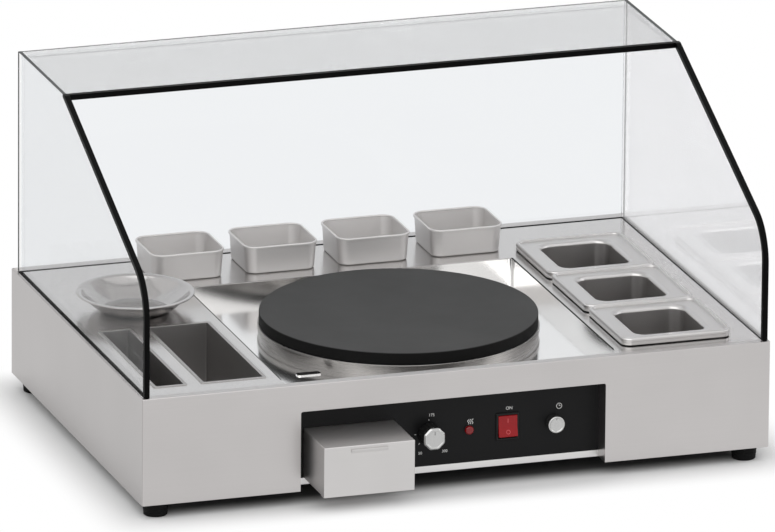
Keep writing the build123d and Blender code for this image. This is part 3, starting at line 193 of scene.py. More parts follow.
# brushed coarsely for grip: matt, so its folds read by shade and not by reflection
drawer_steel = stainless("brushed_304_drawer", "#cac8c7", 0.48, "x")
# drawn, then satin polished: smooth, with a soft band of light at every bend
pan_steel = stainless("satin_304_drawn_pan", "#c9c7c6", 0.28, "x", streak=0.008, relief=0.0, uneven=0.01)
# bead blasted: no highlights, only shade
shelf_pan_steel = stainless("blasted_304_shelf_pan", "#d8d6d5", 0.56, "x", streak=0.01, relief=0.01)
# pressed and satin finished; greyer than the pans as painted shade, for the light that falls into the troughs
# from above only
trough_steel_painted_shade = stainless("satin_304_trough", "#aba9a8", 0.38, "y", streak=0.01, relief=0.01)
# rolled and turned: strong streaks round the ring, which break the well's reflection up
turned_steel = stainless("turned_304_ring", "#979593", 0.28, "xy", streak=0.06)
# spun against a former and polished: nearly as sharp a mirror as the well, in crescents
spun_steel = stainless("satin_304_spun_dish", "#bab8b7", 0.15, "xy", streak=0.01, relief=0.0)
# plated in a bath: bluish, and blotched where the zinc lies thicker
zinc_steel = stainless("zinc_plated_fixings", "#b3b5b7", 0.30, "z", streak=0.08, patch=0.10)
# a sheath that has glowed: brown-black, with wide stains
heated_steel = stainless("heat_tinted_element_sheath", "#4a4440", 0.42, "xy", streak=0.05, patch=0.20)
# drawn copper tube: warm, with a grain along it
copper = stainless("drawn_copper_bulb", "#b87348", 0.30, "x")
dress(panel_steel, "front_panel", "rear_panel")
dress(side_steel_painted_shade, "side_panel_left", "side_panel_right")
dress(deck_steel, "deck_left", "deck_right", "deck_rear")
dress(well_steel, "well_tray", "drain_spout")
dress(base_steel, "base_plate", "drawer_runners")
dress(drawer_steel, "drawer_tray", "drawer_front")
dress(zinc_steel, "foot_screws", "panel_screws", "plate_fixing", "element_clamps", "heat_reflector",
      "temp_knob_spindle")
dress(heated_steel, "heating_element")
dress(copper, "sensor_bulb")
print("metals:", len(bpy.data.materials))

# %% [markdown]
# ## Moulded plastic, rubber and enamel
#
# Knobs, feet, seals and the control panel start soft and take their skin from a mould or from paint. A
# mould is spark-eroded, which leaves a fine pebble on everything that comes out of it. Rubber has the same
# pebble with a chalky sheen, and enamel has a slow orange peel. One function makes them all: a pebble of a
# given size in relief, and a colour that drifts a little across the piece.

# %% Plastics and paints
DRIFT_SIZE = 71.4 * MM
PEBBLE_DEPTH = 0.1 * MM


def moulded(name, colour, roughness, pebble_mm, relief, shine=0.5, drift=0.08):
    """A dielectric whose skin is noise pebble_mm across. Its colour drifts by the share drift."""
    made, tree, output, place = new_material(name)
    pebble = add_node(tree, "ShaderNodeTexNoise", {"Vector": place, "Scale": 1 / (pebble_mm * MM),
                                                   "Detail": 2.0})
    slow = add_node(tree, "ShaderNodeTexNoise", {"Vector": place, "Scale": 1 / DRIFT_SIZE, "Detail": 3.0})
    light = np.array(linear(colour))[:3]
    tint = add_node(tree, "ShaderNodeMix", {
        0: slow.outputs["Fac"], 6: (*(light * (1 - drift)), 1),
        7: (*np.minimum(light * (1 + drift), 1), 1)}, data_type="RGBA")
    worn = add_node(tree, "ShaderNodeMapRange", {
        "Value": slow.outputs["Fac"], "From Min": 0.3, "From Max": 0.7,
        "To Min": roughness * 0.9, "To Max": min(roughness * 1.15, 1)})
    bump = add_node(tree, "ShaderNodeBump", {"Height": pebble.outputs["Fac"], "Strength": relief,
                                             "Distance": PEBBLE_DEPTH})
    shader = add_node(tree, "ShaderNodeBsdfPrincipled", {
        "Base Color": tint.outputs[2], "Roughness": worn.outputs[0], "Specular IOR Level": shine,
        "Normal": bump.outputs[0]})
    tree.links.new(shader.outputs[0], output.inputs["Surface"])
    return made


# the pebbles are drawn 2 to 4 times coarser than a real mould leaves them, to show at all
# baked enamel on steel: near black, with a wide and dim sheen
panel_black = moulded("satin_black_enamel_panel", "#0e0e0f", 0.40, 1.6, 0.04, 0.16)
# ABS from an eroded mould: matt, so that the grip's flutes read by shade
grip_black = moulded("matt_black_abs_grip", "#1a1a1a", 0.50, 0.5, 0.15, 0.3)
# nylon: a shade glossier and waxy
switch_black = moulded("satin_black_nylon_switch", "#0b0b0b", 0.40, 0.4, 0.10, 0.25)
# powder coat: the deepest black here, a pen line round the glass
trim_black = moulded("satin_black_powder_coat", "#030303", 0.45, 0.6, 0.15, 0.06)
# moulded and extruded rubber: chalky, without a highlight
foot_rubber = moulded("moulded_black_rubber_foot", "#0c0c0c", 0.70, 0.7, 0.25, 0.15)
seal_rubber = moulded("extruded_grey_rubber_seal", "#2e2e2d", 0.60, 0.7, 0.15, 0.2)
# phenolic resin, pressed hot: cream and dull
housing_cream = moulded("phenolic_control_housing", "#b8b1a4", 0.45, 0.6, 0.15)
# pressed ceramic wool: off-white and furry
fibre_white = moulded("ceramic_fibre_board", "#dbd6ca", 0.95, 1.2, 0.90, drift=0.12)
# ABS from a polished mould: a clear highlight on each face, and its marks in a paler mix
rocker_red = moulded("glossy_red_abs_rocker", "#941218", 0.24, 0.5, 0.02, 0.3)
rocker_pale = moulded("moulded_pale_red_mark", "#c9585a", 0.40, 0.5, 0.02, 0.3)
# polished acrylic: the glossiest plastic, dark because no lamp burns behind it
lens_red = moulded("clear_red_acrylic_lens", "#7c060c", 0.10, 0.5, 0.02)
# ink pushed through a screen: flat white
print_white = moulded("white_screen_print", "#e4e4e2", 0.55, 0.3, 0.05, drift=0.03)
dress(panel_black, "control_fascia")
dress(switch_black, "power_switch_frame", "ready_lamp_holder", "cable_gland")
dress(trim_black, "edge_trim_top")
dress(seal_rubber, "glass_channel_left", "glass_channel_right", "glass_channel_rear")
dress(housing_cream, "thermostat_body", "timer_body", "terminal_block")
dress(fibre_white, "insulation_disc")
print("plastics:", [m.name for m in (panel_black, grip_black, trim_black, foot_rubber, rocker_red)])

# %% [markdown]
# ## Stage and light
#
# The station stands on a white floor, which runs back into a white backdrop. Both are plain white to the
# camera and to what mirrors and glass show it. Rays that gather light for dull surfaces meet a studio's sky
# instead: brightest low down behind the station, half as bright overhead, and dimmest in front. Its strength
# is a straight line in height times a straight line from front to back. So the white of the picture does not
# wash out what is dull.
#
# Beside the station the floor is a real one, which keeps the shadow of the box and its feet, and it turns
# to plain white within 80 mm. Under the station a shadow is painted into the floor's own colour: it darkens
# from #f4f4f4 to #585858 over the last 50 mm inside the footprint's edge, as painted shade for the dark below
# a low box. Both go by the distance to the footprint, a rectangle: how far past its edge a place lies each
# way, by subtraction, then the larger of the two for the inside and the diagonal for the outside.

# %% Floor
def of_kind(tree, *kinds):
    """1 for a ray of a kind named, such as "Is Camera Ray", and 0 for any other: the largest of the flags."""
    path = add_node(tree, "ShaderNodeLightPath", {})
    found = path.outputs[kinds[0]]
    for kind in kinds[1:]:
        found = add_node(tree, "ShaderNodeMath", {0: found, 1: path.outputs[kind]},
                         operation="MAXIMUM").outputs[0]
    return found


SEEN_RAYS = ("Is Camera Ray", "Is Glossy Ray", "Is Transmission Ray")
FLOOR_REACH = 30.0
FOOTPRINT_MIDDLE, FOOTPRINT_HALF = (0, 0.0218, 0), (0.468, 0.321, 0)
SHADE_FADES, WHITE_STARTS = 50.0 * MM, 80.0 * MM
floor_mesh = bpy.data.meshes.new("floor")
floor_mesh.from_pydata([(-FLOOR_REACH, -FLOOR_REACH, 0), (FLOOR_REACH, -FLOOR_REACH, 0),
                        (FLOOR_REACH, FLOOR_REACH, 0), (-FLOOR_REACH, FLOOR_REACH, 0)], [], [(0, 1, 2, 3)])
floor = bpy.data.objects.new("floor", floor_mesh)
bpy.context.scene.collection.objects.link(floor)
floor_material, tree, output, place = new_material("white_studio_floor")
centred = add_node(tree, "ShaderNodeVectorMath", {0: place, 1: FOOTPRINT_MIDDLE}, operation="SUBTRACT")
folded = add_node(tree, "ShaderNodeVectorMath", {0: centred.outputs[0]}, operation="ABSOLUTE")
past_edge = add_node(tree, "ShaderNodeVectorMath", {0: folded.outputs[0], 1: FOOTPRINT_HALF},
                     operation="SUBTRACT")
each_way = add_node(tree, "ShaderNodeSeparateXYZ", {0: past_edge.outputs[0]})
past_nearest = add_node(tree, "ShaderNodeMath", {0: each_way.outputs["X"], 1: each_way.outputs["Y"]},
                        operation="MAXIMUM")
# painted shadow: the floor's colour fades to dark grey within SHADE_FADES inside the footprint's edge
painted_shadow_fade = add_node(tree, "ShaderNodeMapRange", {
    "Value": past_nearest.outputs[0], "From Min": -SHADE_FADES, "From Max": 0.0},
    interpolation_type="SMOOTHSTEP")
floor_colour_with_painted_shadow = add_node(tree, "ShaderNodeMix", {0: painted_shadow_fade.outputs[0], 6: linear("#585858"),
                                                7: linear("#f4f4f4")}, data_type="RGBA")
matt_floor = add_node(tree, "ShaderNodeBsdfDiffuse", {"Color": floor_colour_with_painted_shadow.outputs[2]})
past_outside = add_node(tree, "ShaderNodeVectorMath", {0: past_edge.outputs[0], 1: (0, 0, 0)},
                        operation="MAXIMUM")
away = add_node(tree, "ShaderNodeVectorMath", {0: past_outside.outputs[0]}, operation="LENGTH")
open_share = add_node(tree, "ShaderNodeMapRange", {
    "Value": away.outputs["Value"], "From Min": 0.0, "From Max": WHITE_STARTS},
    interpolation_type="SMOOTHSTEP")
white_share = add_node(tree, "ShaderNodeMath", {0: of_kind(tree, *SEEN_RAYS), 1: open_share.outputs[0]},
                       operation="MULTIPLY")
plain_white = add_node(tree, "ShaderNodeEmission", {"Color": (1, 1, 1, 1), "Strength": 1.0})
floor_look = add_node(tree, "ShaderNodeMixShader", {0: white_share.outputs[0], 1: matt_floor.outputs[0],
                                                    2: plain_white.outputs[0]})
tree.links.new(floor_look.outputs[0], output.inputs["Surface"])
floor_mesh.materials.append(floor_material)
print("floor turns white within", round(WHITE_STARTS / MM), "mm")

# %% Sky and lamps
SKY_LOW, SKY_TOP = 1.10, 0.75
SKY_FRONT, SKY_BACK = 0.50, 1.20
world = bpy.data.worlds.new("studio_sky")
bpy.context.scene.world = world
world.use_nodes = True
tree = world.node_tree
tree.nodes.clear()
direction = add_node(tree, "ShaderNodeTexCoord", {}).outputs["Generated"]
way = add_node(tree, "ShaderNodeSeparateXYZ", {0: direction})
by_height = add_node(tree, "ShaderNodeMapRange", {"Value": way.outputs["Z"], "To Min": SKY_LOW,
                                                  "To Max": SKY_TOP})
by_depth = add_node(tree, "ShaderNodeMapRange", {"Value": way.outputs["Y"], "From Min": -1.0, "From Max": 1.0,
                                                 "To Min": SKY_FRONT, "To Max": SKY_BACK})
strength = add_node(tree, "ShaderNodeMath", {0: by_height.outputs[0], 1: by_depth.outputs[0]},
                    operation="MULTIPLY")
sky = add_node(tree, "ShaderNodeBackground", {"Color": (1, 1, 1, 1), "Strength": strength.outputs[0]})
white = add_node(tree, "ShaderNodeBackground", {"Color": (1, 1, 1, 1), "Strength": 1.0})
backdrop = add_node(tree, "ShaderNodeMixShader", {0: of_kind(tree, *SEEN_RAYS), 1: sky.outputs[0],
                                                  2: white.outputs[0]})
tree.links.new(backdrop.outputs[0], add_node(tree, "ShaderNodeOutputWorld", {}).inputs["Surface"])
bpy.context.scene.view_settings.view_transform = "Standard"


def soft_lamp(name, at, towards, width, height, watts):
    """A rectangular soft box at one point, facing another: away from it, across and up are its axes."""
    data = bpy.data.lights.new(name, "AREA")
    data.shape = "RECTANGLE"
    data.size, data.size_y, data.energy = width, height, watts
    made = bpy.data.objects.new(name, data)
    bpy.context.scene.collection.objects.link(made)
    away = np.array(at, float) - np.array(towards, float)
    away /= np.linalg.norm(away)
    side = np.cross((0, 0, 1), away)
    side /= np.linalg.norm(side)
    over = np.cross(away, side)
    made.matrix_world = Matrix([[side[i], over[i], away[i], at[i]] for i in range(3)] + [[0, 0, 0, 1]])


LIT_POINT = (0, 0, 0.2)
soft_lamp("key_lamp", (-1.1, -2.3, 2.3), LIT_POINT, 4.2, 3.2, 43)
soft_lamp("fill_lamp", (2.6, -1.0, 1.4), LIT_POINT, 1.6, 1.6, 8)
print("lamps:", len(bpy.data.lights))

# %% [markdown]
# ## Toughened glass
#
# The guard is 5 mm float glass with ground edges. Clear glass bends light, and reflects more of it the more
# slantwise one looks. A pane that is seen nearly edge on would mirror the whole studio and hide what is
# behind it, which a photographer stops with a dark flag beside the pane. Here a share of each ray goes
# straight through instead, a little dimmed, and the rest meets full glass at an index of 1.52. A lamp's ray
# goes straight through too, because real glass casts hardly any shadow.

# %% Glass
SMEAR_SIZE = 111.0 * MM


def float_glass(name, tint, glass_share):
    """glass_share of each ray meets real glass. What is left goes straight through, times the tint."""
    made, tree, output, place = new_material(name)
    smear = add_node(tree, "ShaderNodeTexNoise", {"Vector": place, "Scale": 1 / SMEAR_SIZE, "Detail": 2.0})
    wiped = add_node(tree, "ShaderNodeMapRange", {"Value": smear.outputs["Fac"], "To Min": 0.0,
                                                  "To Max": 0.012})
    clear = add_node(tree, "ShaderNodeBsdfPrincipled", {
        "Base Color": linear(tint), "Roughness": wiped.outputs[0], "IOR": 1.52, "Transmission Weight": 1.0})
    straight = add_node(tree, "ShaderNodeBsdfTransparent", {"Color": linear(tint)})
    seen = add_node(tree, "ShaderNodeMixShader", {0: 1 - glass_share, 1: clear.outputs[0],
                                                  2: straight.outputs[0]})
    unshaded = add_node(tree, "ShaderNodeBsdfTransparent", {"Color": linear("#f9f9f9")})
    pane = add_node(tree, "ShaderNodeMixShader", {0: of_kind(tree, "Is Shadow Ray"), 1: seen.outputs[0],
                                                  2: unshaded.outputs[0]})
    tree.links.new(pane.outputs[0], output.inputs["Surface"])
    return made


# float glass, wiped by hand: clear, with faint smears; flagged panes hardly mirror, the other two do
dress(float_glass("flagged_float_glass", "#fafafa", 0.06), "guard_glass_left")
dress(float_glass("rear_float_glass", "#f7f8f9", 0.06), "guard_glass_rear")
dress(float_glass("toughened_float_glass", "#f6f6f7", 0.40), "guard_glass_right")
# painted shade: the top pane is the same toughened glass as the right one, in a greyer tint
dress(float_glass("toughened_float_glass_top", "#ececec", 0.5), "guard_glass_top")
print("panes:", len([name for name in nodes if name.startswith("guard_glass")]))

# %% [markdown]
# ## Surfaces from grids
#
# A lathed plate, a drawn pan and a bent channel have one thing in common: each is a ring of points carried
# along a profile. So one helper turns a grid, rows of rings by columns round each ring, into a closed mesh,
# with a flat lid on both ends. Three more make the profiles and the grids. Nothing is drawn by hand, so
# every edge radius is a number that can be read off the real thing with a gauge.

# %% Grid helpers
def place_piece(name, body, material, grids, replaced=(), lids=True, crease=35):
    """A mesh over grids of rings, in mm: quads between neighbours and a lid on each end ring."""
    points, faces, start = [], [], 0
    for grid in grids:
        rows, columns = grid.shape[:2]
        index = start + np.arange(rows * columns).reshape(rows, columns)
        after = np.roll(index, -1, axis=1)
        faces += np.stack([index[:-1], after[:-1], after[1:], index[1:]], -1).reshape(-1, 4).tolist()
        faces += [index[0].tolist(), index[-1].tolist()] if lids else []
        points.append(grid.reshape(-1, 3))
        start += rows * columns
    mesh = bpy.data.meshes.new(name)
    mesh.from_pydata((np.concatenate(points) * MM).tolist(), [], faces)
    work = bmesh.new()
    work.from_mesh(mesh)
    bmesh.ops.remove_doubles(work, verts=work.verts, dist=0.003 * MM)
    bmesh.ops.recalc_face_normals(work, faces=work.faces)
    work.to_mesh(mesh)
    work.free()
    mesh.materials.append(material)
    mesh.shade_smooth()
    mesh.set_sharp_from_angle(angle=np.radians(crease))
    piece = bpy.data.objects.new(name, mesh)
    bpy.context.scene.collection.objects.link(piece)
    even = piece.modifiers.new("even_shading", "WEIGHTED_NORMAL")
    even.keep_sharp = True
    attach(piece, body)
    if replaced:
        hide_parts(*replaced)
    return piece


def rounded_path(points, radii, steps=6):
    """A profile whose inner corners become arcs of the given radii.

    An arc touches both runs at radius / tan(half the angle between them) from the corner, and its centre is
    radius / sin(half) along the bisector. Between its two spokes a and b, which are f apart, the point at
    share t is centre + (sin((1 - t) f) a + sin(t f) b) / sin(f).
    """
    points, radii = np.array(points, float), np.array(radii, float)[:, None]
    before, after = points[:-2] - points[1:-1], points[2:] - points[1:-1]
    before /= np.linalg.norm(before, axis=1, keepdims=True)
    after /= np.linalg.norm(after, axis=1, keepdims=True)
    half = np.arccos(np.clip((before * after).sum(1, keepdims=True), -1, 1)) / 2
    bisector = before + after
    bisector /= np.maximum(np.linalg.norm(bisector, axis=1, keepdims=True), 1e-9)
    centre = points[1:-1] + bisector * radii / np.sin(half)
    a = points[1:-1] + before * radii / np.tan(half) - centre
    b = points[1:-1] + after * radii / np.tan(half) - centre
    f = np.maximum(np.pi - 2 * half, 1e-6)[:, None]
    t = np.linspace(0, 1, steps)[None, :, None]
    arcs = centre[:, None] + (np.sin((1 - t) * f) * a[:, None] + np.sin(t * f) * b[:, None]) / np.sin(f)
    return np.concatenate([points[:1], arcs.reshape(-1, 2), points[-1:]])


def turned(profile, centre, columns=96, towards="up"):
    """Rings of a lathed shape: each profile point (radius, height) goes round the axis through centre."""
    turn = np.linspace(0, 2 * np.pi, columns, endpoint=False)
    radius, height = profile[:, :1], profile[:, 1:]
    along = np.broadcast_to(height, (len(profile), columns))
    across, aside = radius * np.cos(turn), radius * np.sin(turn)
    order = (across, aside, along) if towards == "up" else (across, -along, aside)
    return np.stack(order, -1) + np.array(centre, float)


def rounded_rings(half_x, half_y, radius, height, centre, steps=10):
    """Rings of rounded rectangles, one a row: four corner centres, with a quarter circle about each."""
    turn = (np.arange(4)[:, None] + np.linspace(0, 1, steps)) * np.pi / 2
    sign_x, sign_y = np.array([1, -1, -1, 1])[:, None], np.array([1, 1, -1, -1])[:, None]
    half_x, half_y, radius, height = (np.reshape(v, (-1, 1, 1)) for v in (half_x, half_y, radius, height))
    x = sign_x * (half_x - radius) + radius * np.cos(turn)
    y = sign_y * (half_y - radius) + radius * np.sin(turn)
    z = np.broadcast_to(height, x.shape)
    return np.stack([x, y, z], -1).reshape(len(half_x), -1, 3) + np.array(centre, float)


def middle(node):
    """The middle of a frame piece's box, in mm, at the height of its lowest point."""
    low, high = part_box(node)
    return np.array([(low.x + high.x) / 2, (low.y + high.y) / 2, low.z]) / MM


DECK = 180.0


def on_deck(node):
    """The middle of a frame piece, at the height of the deck's top."""
    return middle(node) * (1, 1, 0) + (0, 0, DECK)


# %% [markdown]
# ## The griddle and its ring
#
# The plate is grey iron, cast, faced on a lathe and seasoned with oil. Facing leaves fine rings about its
# middle, and the oil bakes nearly black on the rough rim, where no spatula scrapes it off. Colour and
# roughness come from distance to the plate's axis, as rings, and the top is told from the rim by its
# height. The ring under it is rolled steel in two steps, a millimetre apart.

# %% Griddle
# a facing tool's feed is about 0.3 mm a turn; it is drawn as 2 mm rings so that they show
FEED, OIL_SIZE, PORE_SIZE, PORE_DEPTH = 2.0 * MM, 111.0 * MM, 1.2 * MM, 0.1 * MM
RIM_LOW, RIM_HIGH = 190.6 * MM, 191.9 * MM
plate_middle = middle("hot_plate") * (1, 1, 0)
# cast, faced and seasoned iron: dry dark grey on top, in faint rings, and burnt black round the rim
iron, tree, output, place = new_material("seasoned_grey_cast_iron")
centred = add_node(tree, "ShaderNodeVectorMath", {0: place, 1: tuple(plate_middle * MM)},
                   operation="SUBTRACT")
apart = add_node(tree, "ShaderNodeSeparateXYZ", {0: centred.outputs[0]})
flat = add_node(tree, "ShaderNodeCombineXYZ", {0: apart.outputs["X"], 1: apart.outputs["Y"]})
radius = add_node(tree, "ShaderNodeVectorMath", {0: flat.outputs[0]}, operation="LENGTH")
spoke = add_node(tree, "ShaderNodeCombineXYZ", {0: radius.outputs["Value"]})
rings = add_node(tree, "ShaderNodeTexNoise", {"Vector": spoke.outputs[0], "Scale": 1 / FEED, "Detail": 3.0})
oil = add_node(tree, "ShaderNodeTexNoise", {"Vector": place, "Scale": 1 / OIL_SIZE, "Detail": 4.0,
                                            "Roughness": 0.55})
pores = add_node(tree, "ShaderNodeTexNoise", {"Vector": place, "Scale": 1 / PORE_SIZE, "Detail": 2.0})
on_top = add_node(tree, "ShaderNodeMapRange", {"Value": apart.outputs["Z"], "From Min": RIM_LOW,
                                               "From Max": RIM_HIGH})
season = add_node(tree, "ShaderNodeMath", {0: rings.outputs["Fac"], 1: oil.outputs["Fac"]},
                  operation="MULTIPLY")
season_share = add_node(tree, "ShaderNodeMapRange", {"Value": season.outputs[0], "From Min": 0.12,
                                                     "From Max": 0.40})
top_colour = add_node(tree, "ShaderNodeMix", {0: season_share.outputs[0], 6: linear("#404040"),
                                              7: linear("#4a4a4a")}, data_type="RGBA")
iron_colour = add_node(tree, "ShaderNodeMix", {0: on_top.outputs[0], 6: linear("#070707"),
                                               7: top_colour.outputs[2]}, data_type="RGBA")
iron_rough = add_node(tree, "ShaderNodeMapRange", {"Value": rings.outputs["Fac"], "To Min": 0.62,
                                                   "To Max": 0.78})
iron_bump = add_node(tree, "ShaderNodeBump", {"Height": pores.outputs["Fac"], "Strength": 0.10,
                                              "Distance": PORE_DEPTH})
shader = add_node(tree, "ShaderNodeBsdfPrincipled", {
    "Base Color": iron_colour.outputs[2], "Roughness": iron_rough.outputs[0], "Specular IOR Level": 0.15,
    "Normal": iron_bump.outputs[0]})
tree.links.new(shader.outputs[0], output.inputs["Surface"])

# each corner as radius and height: hub, hollow, rim and top for the plate, two steps and a seat for the ring
plate_profile = rounded_path(
    [(0, 176), (10, 176), (10, 182), (190, 182), (190, 174), (200, 174), (200, 192), (150, 192), (0, 192)],
    [0.5, 1, 2, 0.5, 0.6, 1.5, 0])
place_piece("griddle", "cabinet", iron, [turned(plate_profile, plate_middle, 256)],
            ["hot_plate"])
ring_profile = rounded_path(
    [(192, 157.75), (192, 157), (201, 157), (201, 165.5), (202, 165.5), (202, 174), (189, 174), (189, 172.5),
     (200.5, 172.5), (200.5, 167), (199.5, 167), (199.5, 158.5), (192, 158.5), (192, 157.75)],
    [0, 0, 0.3, 0.3, 1, 0, 0, 0.3, 0, 0, 0, 0])
place_piece("griddle_ring", "cabinet", turned_steel, [turned(ring_profile, plate_middle, 256)],
            ["plate_ring"], lids=False)
print("griddle", 2 * plate_profile[:, 0].max(), "mm across")

# %% [markdown]
# ## Drawn pans and pressed troughs
#
# A gastronorm pan is drawn from a flat blank: a punch pushes the body down while the lip stays flat, so the
# mouth has a soft bend, the walls lean a little so that pans part, and the floor meets them in a wide
# radius. The lip then turns down into a skirt with a stiffening groove. Each row of the grid is one rounded
# rectangle, its size and corner taken from how far in from the lip it lies.

# %% Deep pans
# each corner as distance in from the lip and height over the deck: floor, wall, skirt, bead, flat and floor
PAN_HALF_X, PAN_HALF_Y = 82.0, 81.0
pan_profile = rounded_path(
    [(60, -91.5), (33, -91.5), (28.0, 8.0), (1.2, 8.0), (1.2, 1.6), (0, 1.6), (0, 4.6), (0.9, 5.2),
     (0.9, 6.2), (0, 6.8), (0, 12), (5.0, 12), (5.6, 9.2), (29.0, 9.2), (34, -90.5), (60, -90.5)],
    [10, 4.8, 1, 0.3, 0.3, 0.3, 0.3, 0.3, 0.3, 3.0, 1.6, 0.8, 6.0, 9.0], steps=8)
inward, rise = pan_profile.T
# the mouth is longer than it is wide, so front and back come in less than the sides do
pan_half_y = PAN_HALF_Y - np.interp(inward, [0, 5, 29, 60], [0, 5, 23, 54])
pan_corner = np.interp(inward, [0, 5, 29, 34, 60], [14, 9.5, 20, 17, 6])
for number in (1, 2, 3):
    node = f"gastro_pan_{number}"
    place_piece(f"deep_pan_{number}", node, pan_steel,
                [rounded_rings(PAN_HALF_X - inward, pan_half_y, pan_corner, rise, on_deck(node), 12)], [node])
print("deep pans:", len(inward) * 48, "points each")

# %% Topping pans
SHELF_PAN_HALF_X, SHELF_PAN_HALF_Y = 55.0, 50.0
shelf_profile = rounded_path(
    [(40, 0), (3, 0), (0.3, 38.6), (-1.2, 38.6), (-1.2, 42), (1.9, 42), (1.9, 39.6), (1.4, 39.0), (4.2, 1.2),
     (40, 1.2)], [3.2, 0.2, 0.5, 1.4, 1.4, 0.2, 0.3, 2.0])
inward, rise = shelf_profile.T
shelf_corner = np.interp(inward, [-1.2, 0, 4.2, 40], [19.2, 18, 14, 4])
for number in (1, 2, 3, 4):
    node = f"topping_pan_{number}"
    place_piece(f"shelf_pan_{number}", node, shelf_pan_steel,
                [rounded_rings(SHELF_PAN_HALF_X - inward, SHELF_PAN_HALF_Y - inward, shelf_corner, rise,
                               on_deck(node), 12)], [node])
print("topping pans:", len(inward), "rows")

# %% Troughs
TROUGH_HALF_LENGTH = 135.5
for node, half_width in (("utensil_trough_narrow", 25.0), ("utensil_trough_wide", 48.5)):
    middle_strip = half_width * 0.8
    trough_profile = rounded_path(
        [(middle_strip, -100), (4, -100), (4, 0), (0, 0), (0, 1), (5, 1), (5, -99), (middle_strip, -99)],
        [2, 0, 0, 0.45, 0.45, 2])
    inward, rise = trough_profile.T
    corner = np.interp(inward, [0, 4, 5], [3.5, 3.5, 2.5])
    place_piece(node + "_pressed", node, trough_steel_painted_shade,
                [rounded_rings(half_width - inward, TROUGH_HALF_LENGTH - inward, corner, rise,
                               on_deck(node), 6)], [node])
print("troughs:", len(trough_profile), "rows")

# %% [markdown]
# ## The spun dish
#
# The dish is spun: a polished disc is pressed over a turning former until it takes its curve, and the rim
# is rolled flat. Its bowl is part of a sphere. With the sphere's centre c above the base and its radius R,
# the bowl's radius at height h is the square root of R squared less (h - c) squared.

# %% Dish
BASE_RADIUS, BOWL_RADIUS, BOWL_HEIGHT, DISH_WALL = 48.0, 79.0, 26.0, 1.2
sphere_height = (BOWL_RADIUS**2 + BOWL_HEIGHT**2 - BASE_RADIUS**2) / (2 * BOWL_HEIGHT)
sphere_radius = np.hypot(BASE_RADIUS, sphere_height)
climb = np.linspace(0, BOWL_HEIGHT, 28)
outside = np.stack([np.sqrt(sphere_radius**2 - (climb - sphere_height) ** 2), climb], -1)
descent = np.linspace(BOWL_HEIGHT + 0.6, DISH_WALL, 28)
inside = np.stack([np.sqrt((sphere_radius - DISH_WALL) ** 2 - (descent - sphere_height) ** 2), descent], -1)
rim = rounded_path([outside[-1], (82.6, 26.4), (83.2, 25.4), (85, 25.4), (85, 28), (80.2, 27.6), inside[0]],
                   [0.3, 0.3, 0.8, 1.1, 0.7])
dish_profile = np.concatenate([[(0, 0), (44, 0)], outside, rim[1:-1], inside,
                               [(40, DISH_WALL), (0, DISH_WALL)]])
place_piece("spun_dish", "crepe_dish", spun_steel,
            [turned(dish_profile, on_deck("crepe_dish"), 128)], ["crepe_dish"])
print("sphere radius", round(sphere_radius, 1), "mm")

# %% [markdown]
# ## Edge trims
#
# The guard's front edges carry a black channel, rolled from steel strip and bent round the knee of the
# glass. Its section is a U that swallows the glass edge. Carried along the edge, each row stands square to
# the path: the path's direction turned a quarter gives the way out from the glass. At the top the rows are
# flattened under the height of the cross trim, as the fitter files it.

# %% Trims
# the path as (y, height): up from the foot, round the knee, and along the slope to just past the top pane
KNEE = np.array([-292.75, 339.5])
FOOT_HEIGHT, KNEE_RADIUS, CROSS_TRIM_TOP = 181.0, 72.0, 512.5
SLOPE = np.array([389.5, 171.5]) / 389.5
edge_line = rounded_path([(KNEE[0], FOOT_HEIGHT), KNEE, KNEE + 377.5 * SLOPE], [KNEE_RADIUS], steps=22)
last_run = edge_line[-1] + np.linspace(0, 16.0, 12)[1:, None] * SLOPE
edge_line = np.concatenate([edge_line, last_run])
heading = np.gradient(edge_line, axis=0)
heading /= np.linalg.norm(heading, axis=1, keepdims=True)
outward = np.stack([-heading[:, 1], heading[:, 0]], -1)
section = rounded_path(
    [(0, 4), (4, 4), (4, -4), (2.5, -4), (2.5, 0), (-2.5, 0), (-2.5, -4), (-4, -4), (-4, 4), (0, 4)],
    [1.3, 0.3, 0.3, 0, 0, 0.3, 0.3, 1.3], steps=5)[:-1]
spots = edge_line[:, None] + section[None, :, 1:] * outward[:, None]
for side in ("left", "right"):
    node = "edge_trim_" + side
    low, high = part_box(node)
    over = (low.x + high.x) / 2 / MM
    grid = np.stack([np.broadcast_to(over + section[:, 0], spots.shape[:2]),
                     np.minimum(spots[..., 0], high.y / MM), np.minimum(spots[..., 1], CROSS_TRIM_TOP)], -1)
    place_piece("guard_trim_" + side, "cabinet", trim_black, [grid], [node])
print("trim rows", len(edge_line), "section points", len(section))

# %% [markdown]
# ## Ground edges of the glass
#
# A cut edge of float glass is ground with a stone before the pane is toughened. It comes out matt grey,
# because light that runs inside the pane leaves there. Each ground edge is a bar with its arrises taken off:
# a rounded rectangle, stacked along the edge. Dark bars of the same kind, in the seals' grey rubber, lie
# along the lines where the deck sheets meet the well.

# %% Ground edges
# stone-ground glass: a frosted grey that looks the same from every side
ground_glass = moulded("ground_glass_edge", "#4b4d4e", 0.55, 0.4, 0.10, 0.3)
ARRIS = 0.15


def ground_bar(low, high, along):
    """A bar between two corners: four rounded rectangles along one axis, the end ones smaller by ARRIS."""
    order = {"x": [2, 1, 0], "y": [0, 2, 1], "z": [0, 1, 2]}[along]
    low, high = np.array(low, float)[order], np.array(high, float)[order]
    half, centre = (high - low) / 2, (low + high) / 2
    less = np.array([ARRIS, 0, 0, ARRIS])
    reach = (half[2] - np.array([0, ARRIS, ARRIS, 0])) * (-1, -1, 1, 1)
    return rounded_rings(half[0] - less, half[1] - less, 0.2, reach, centre, 4)[..., order]


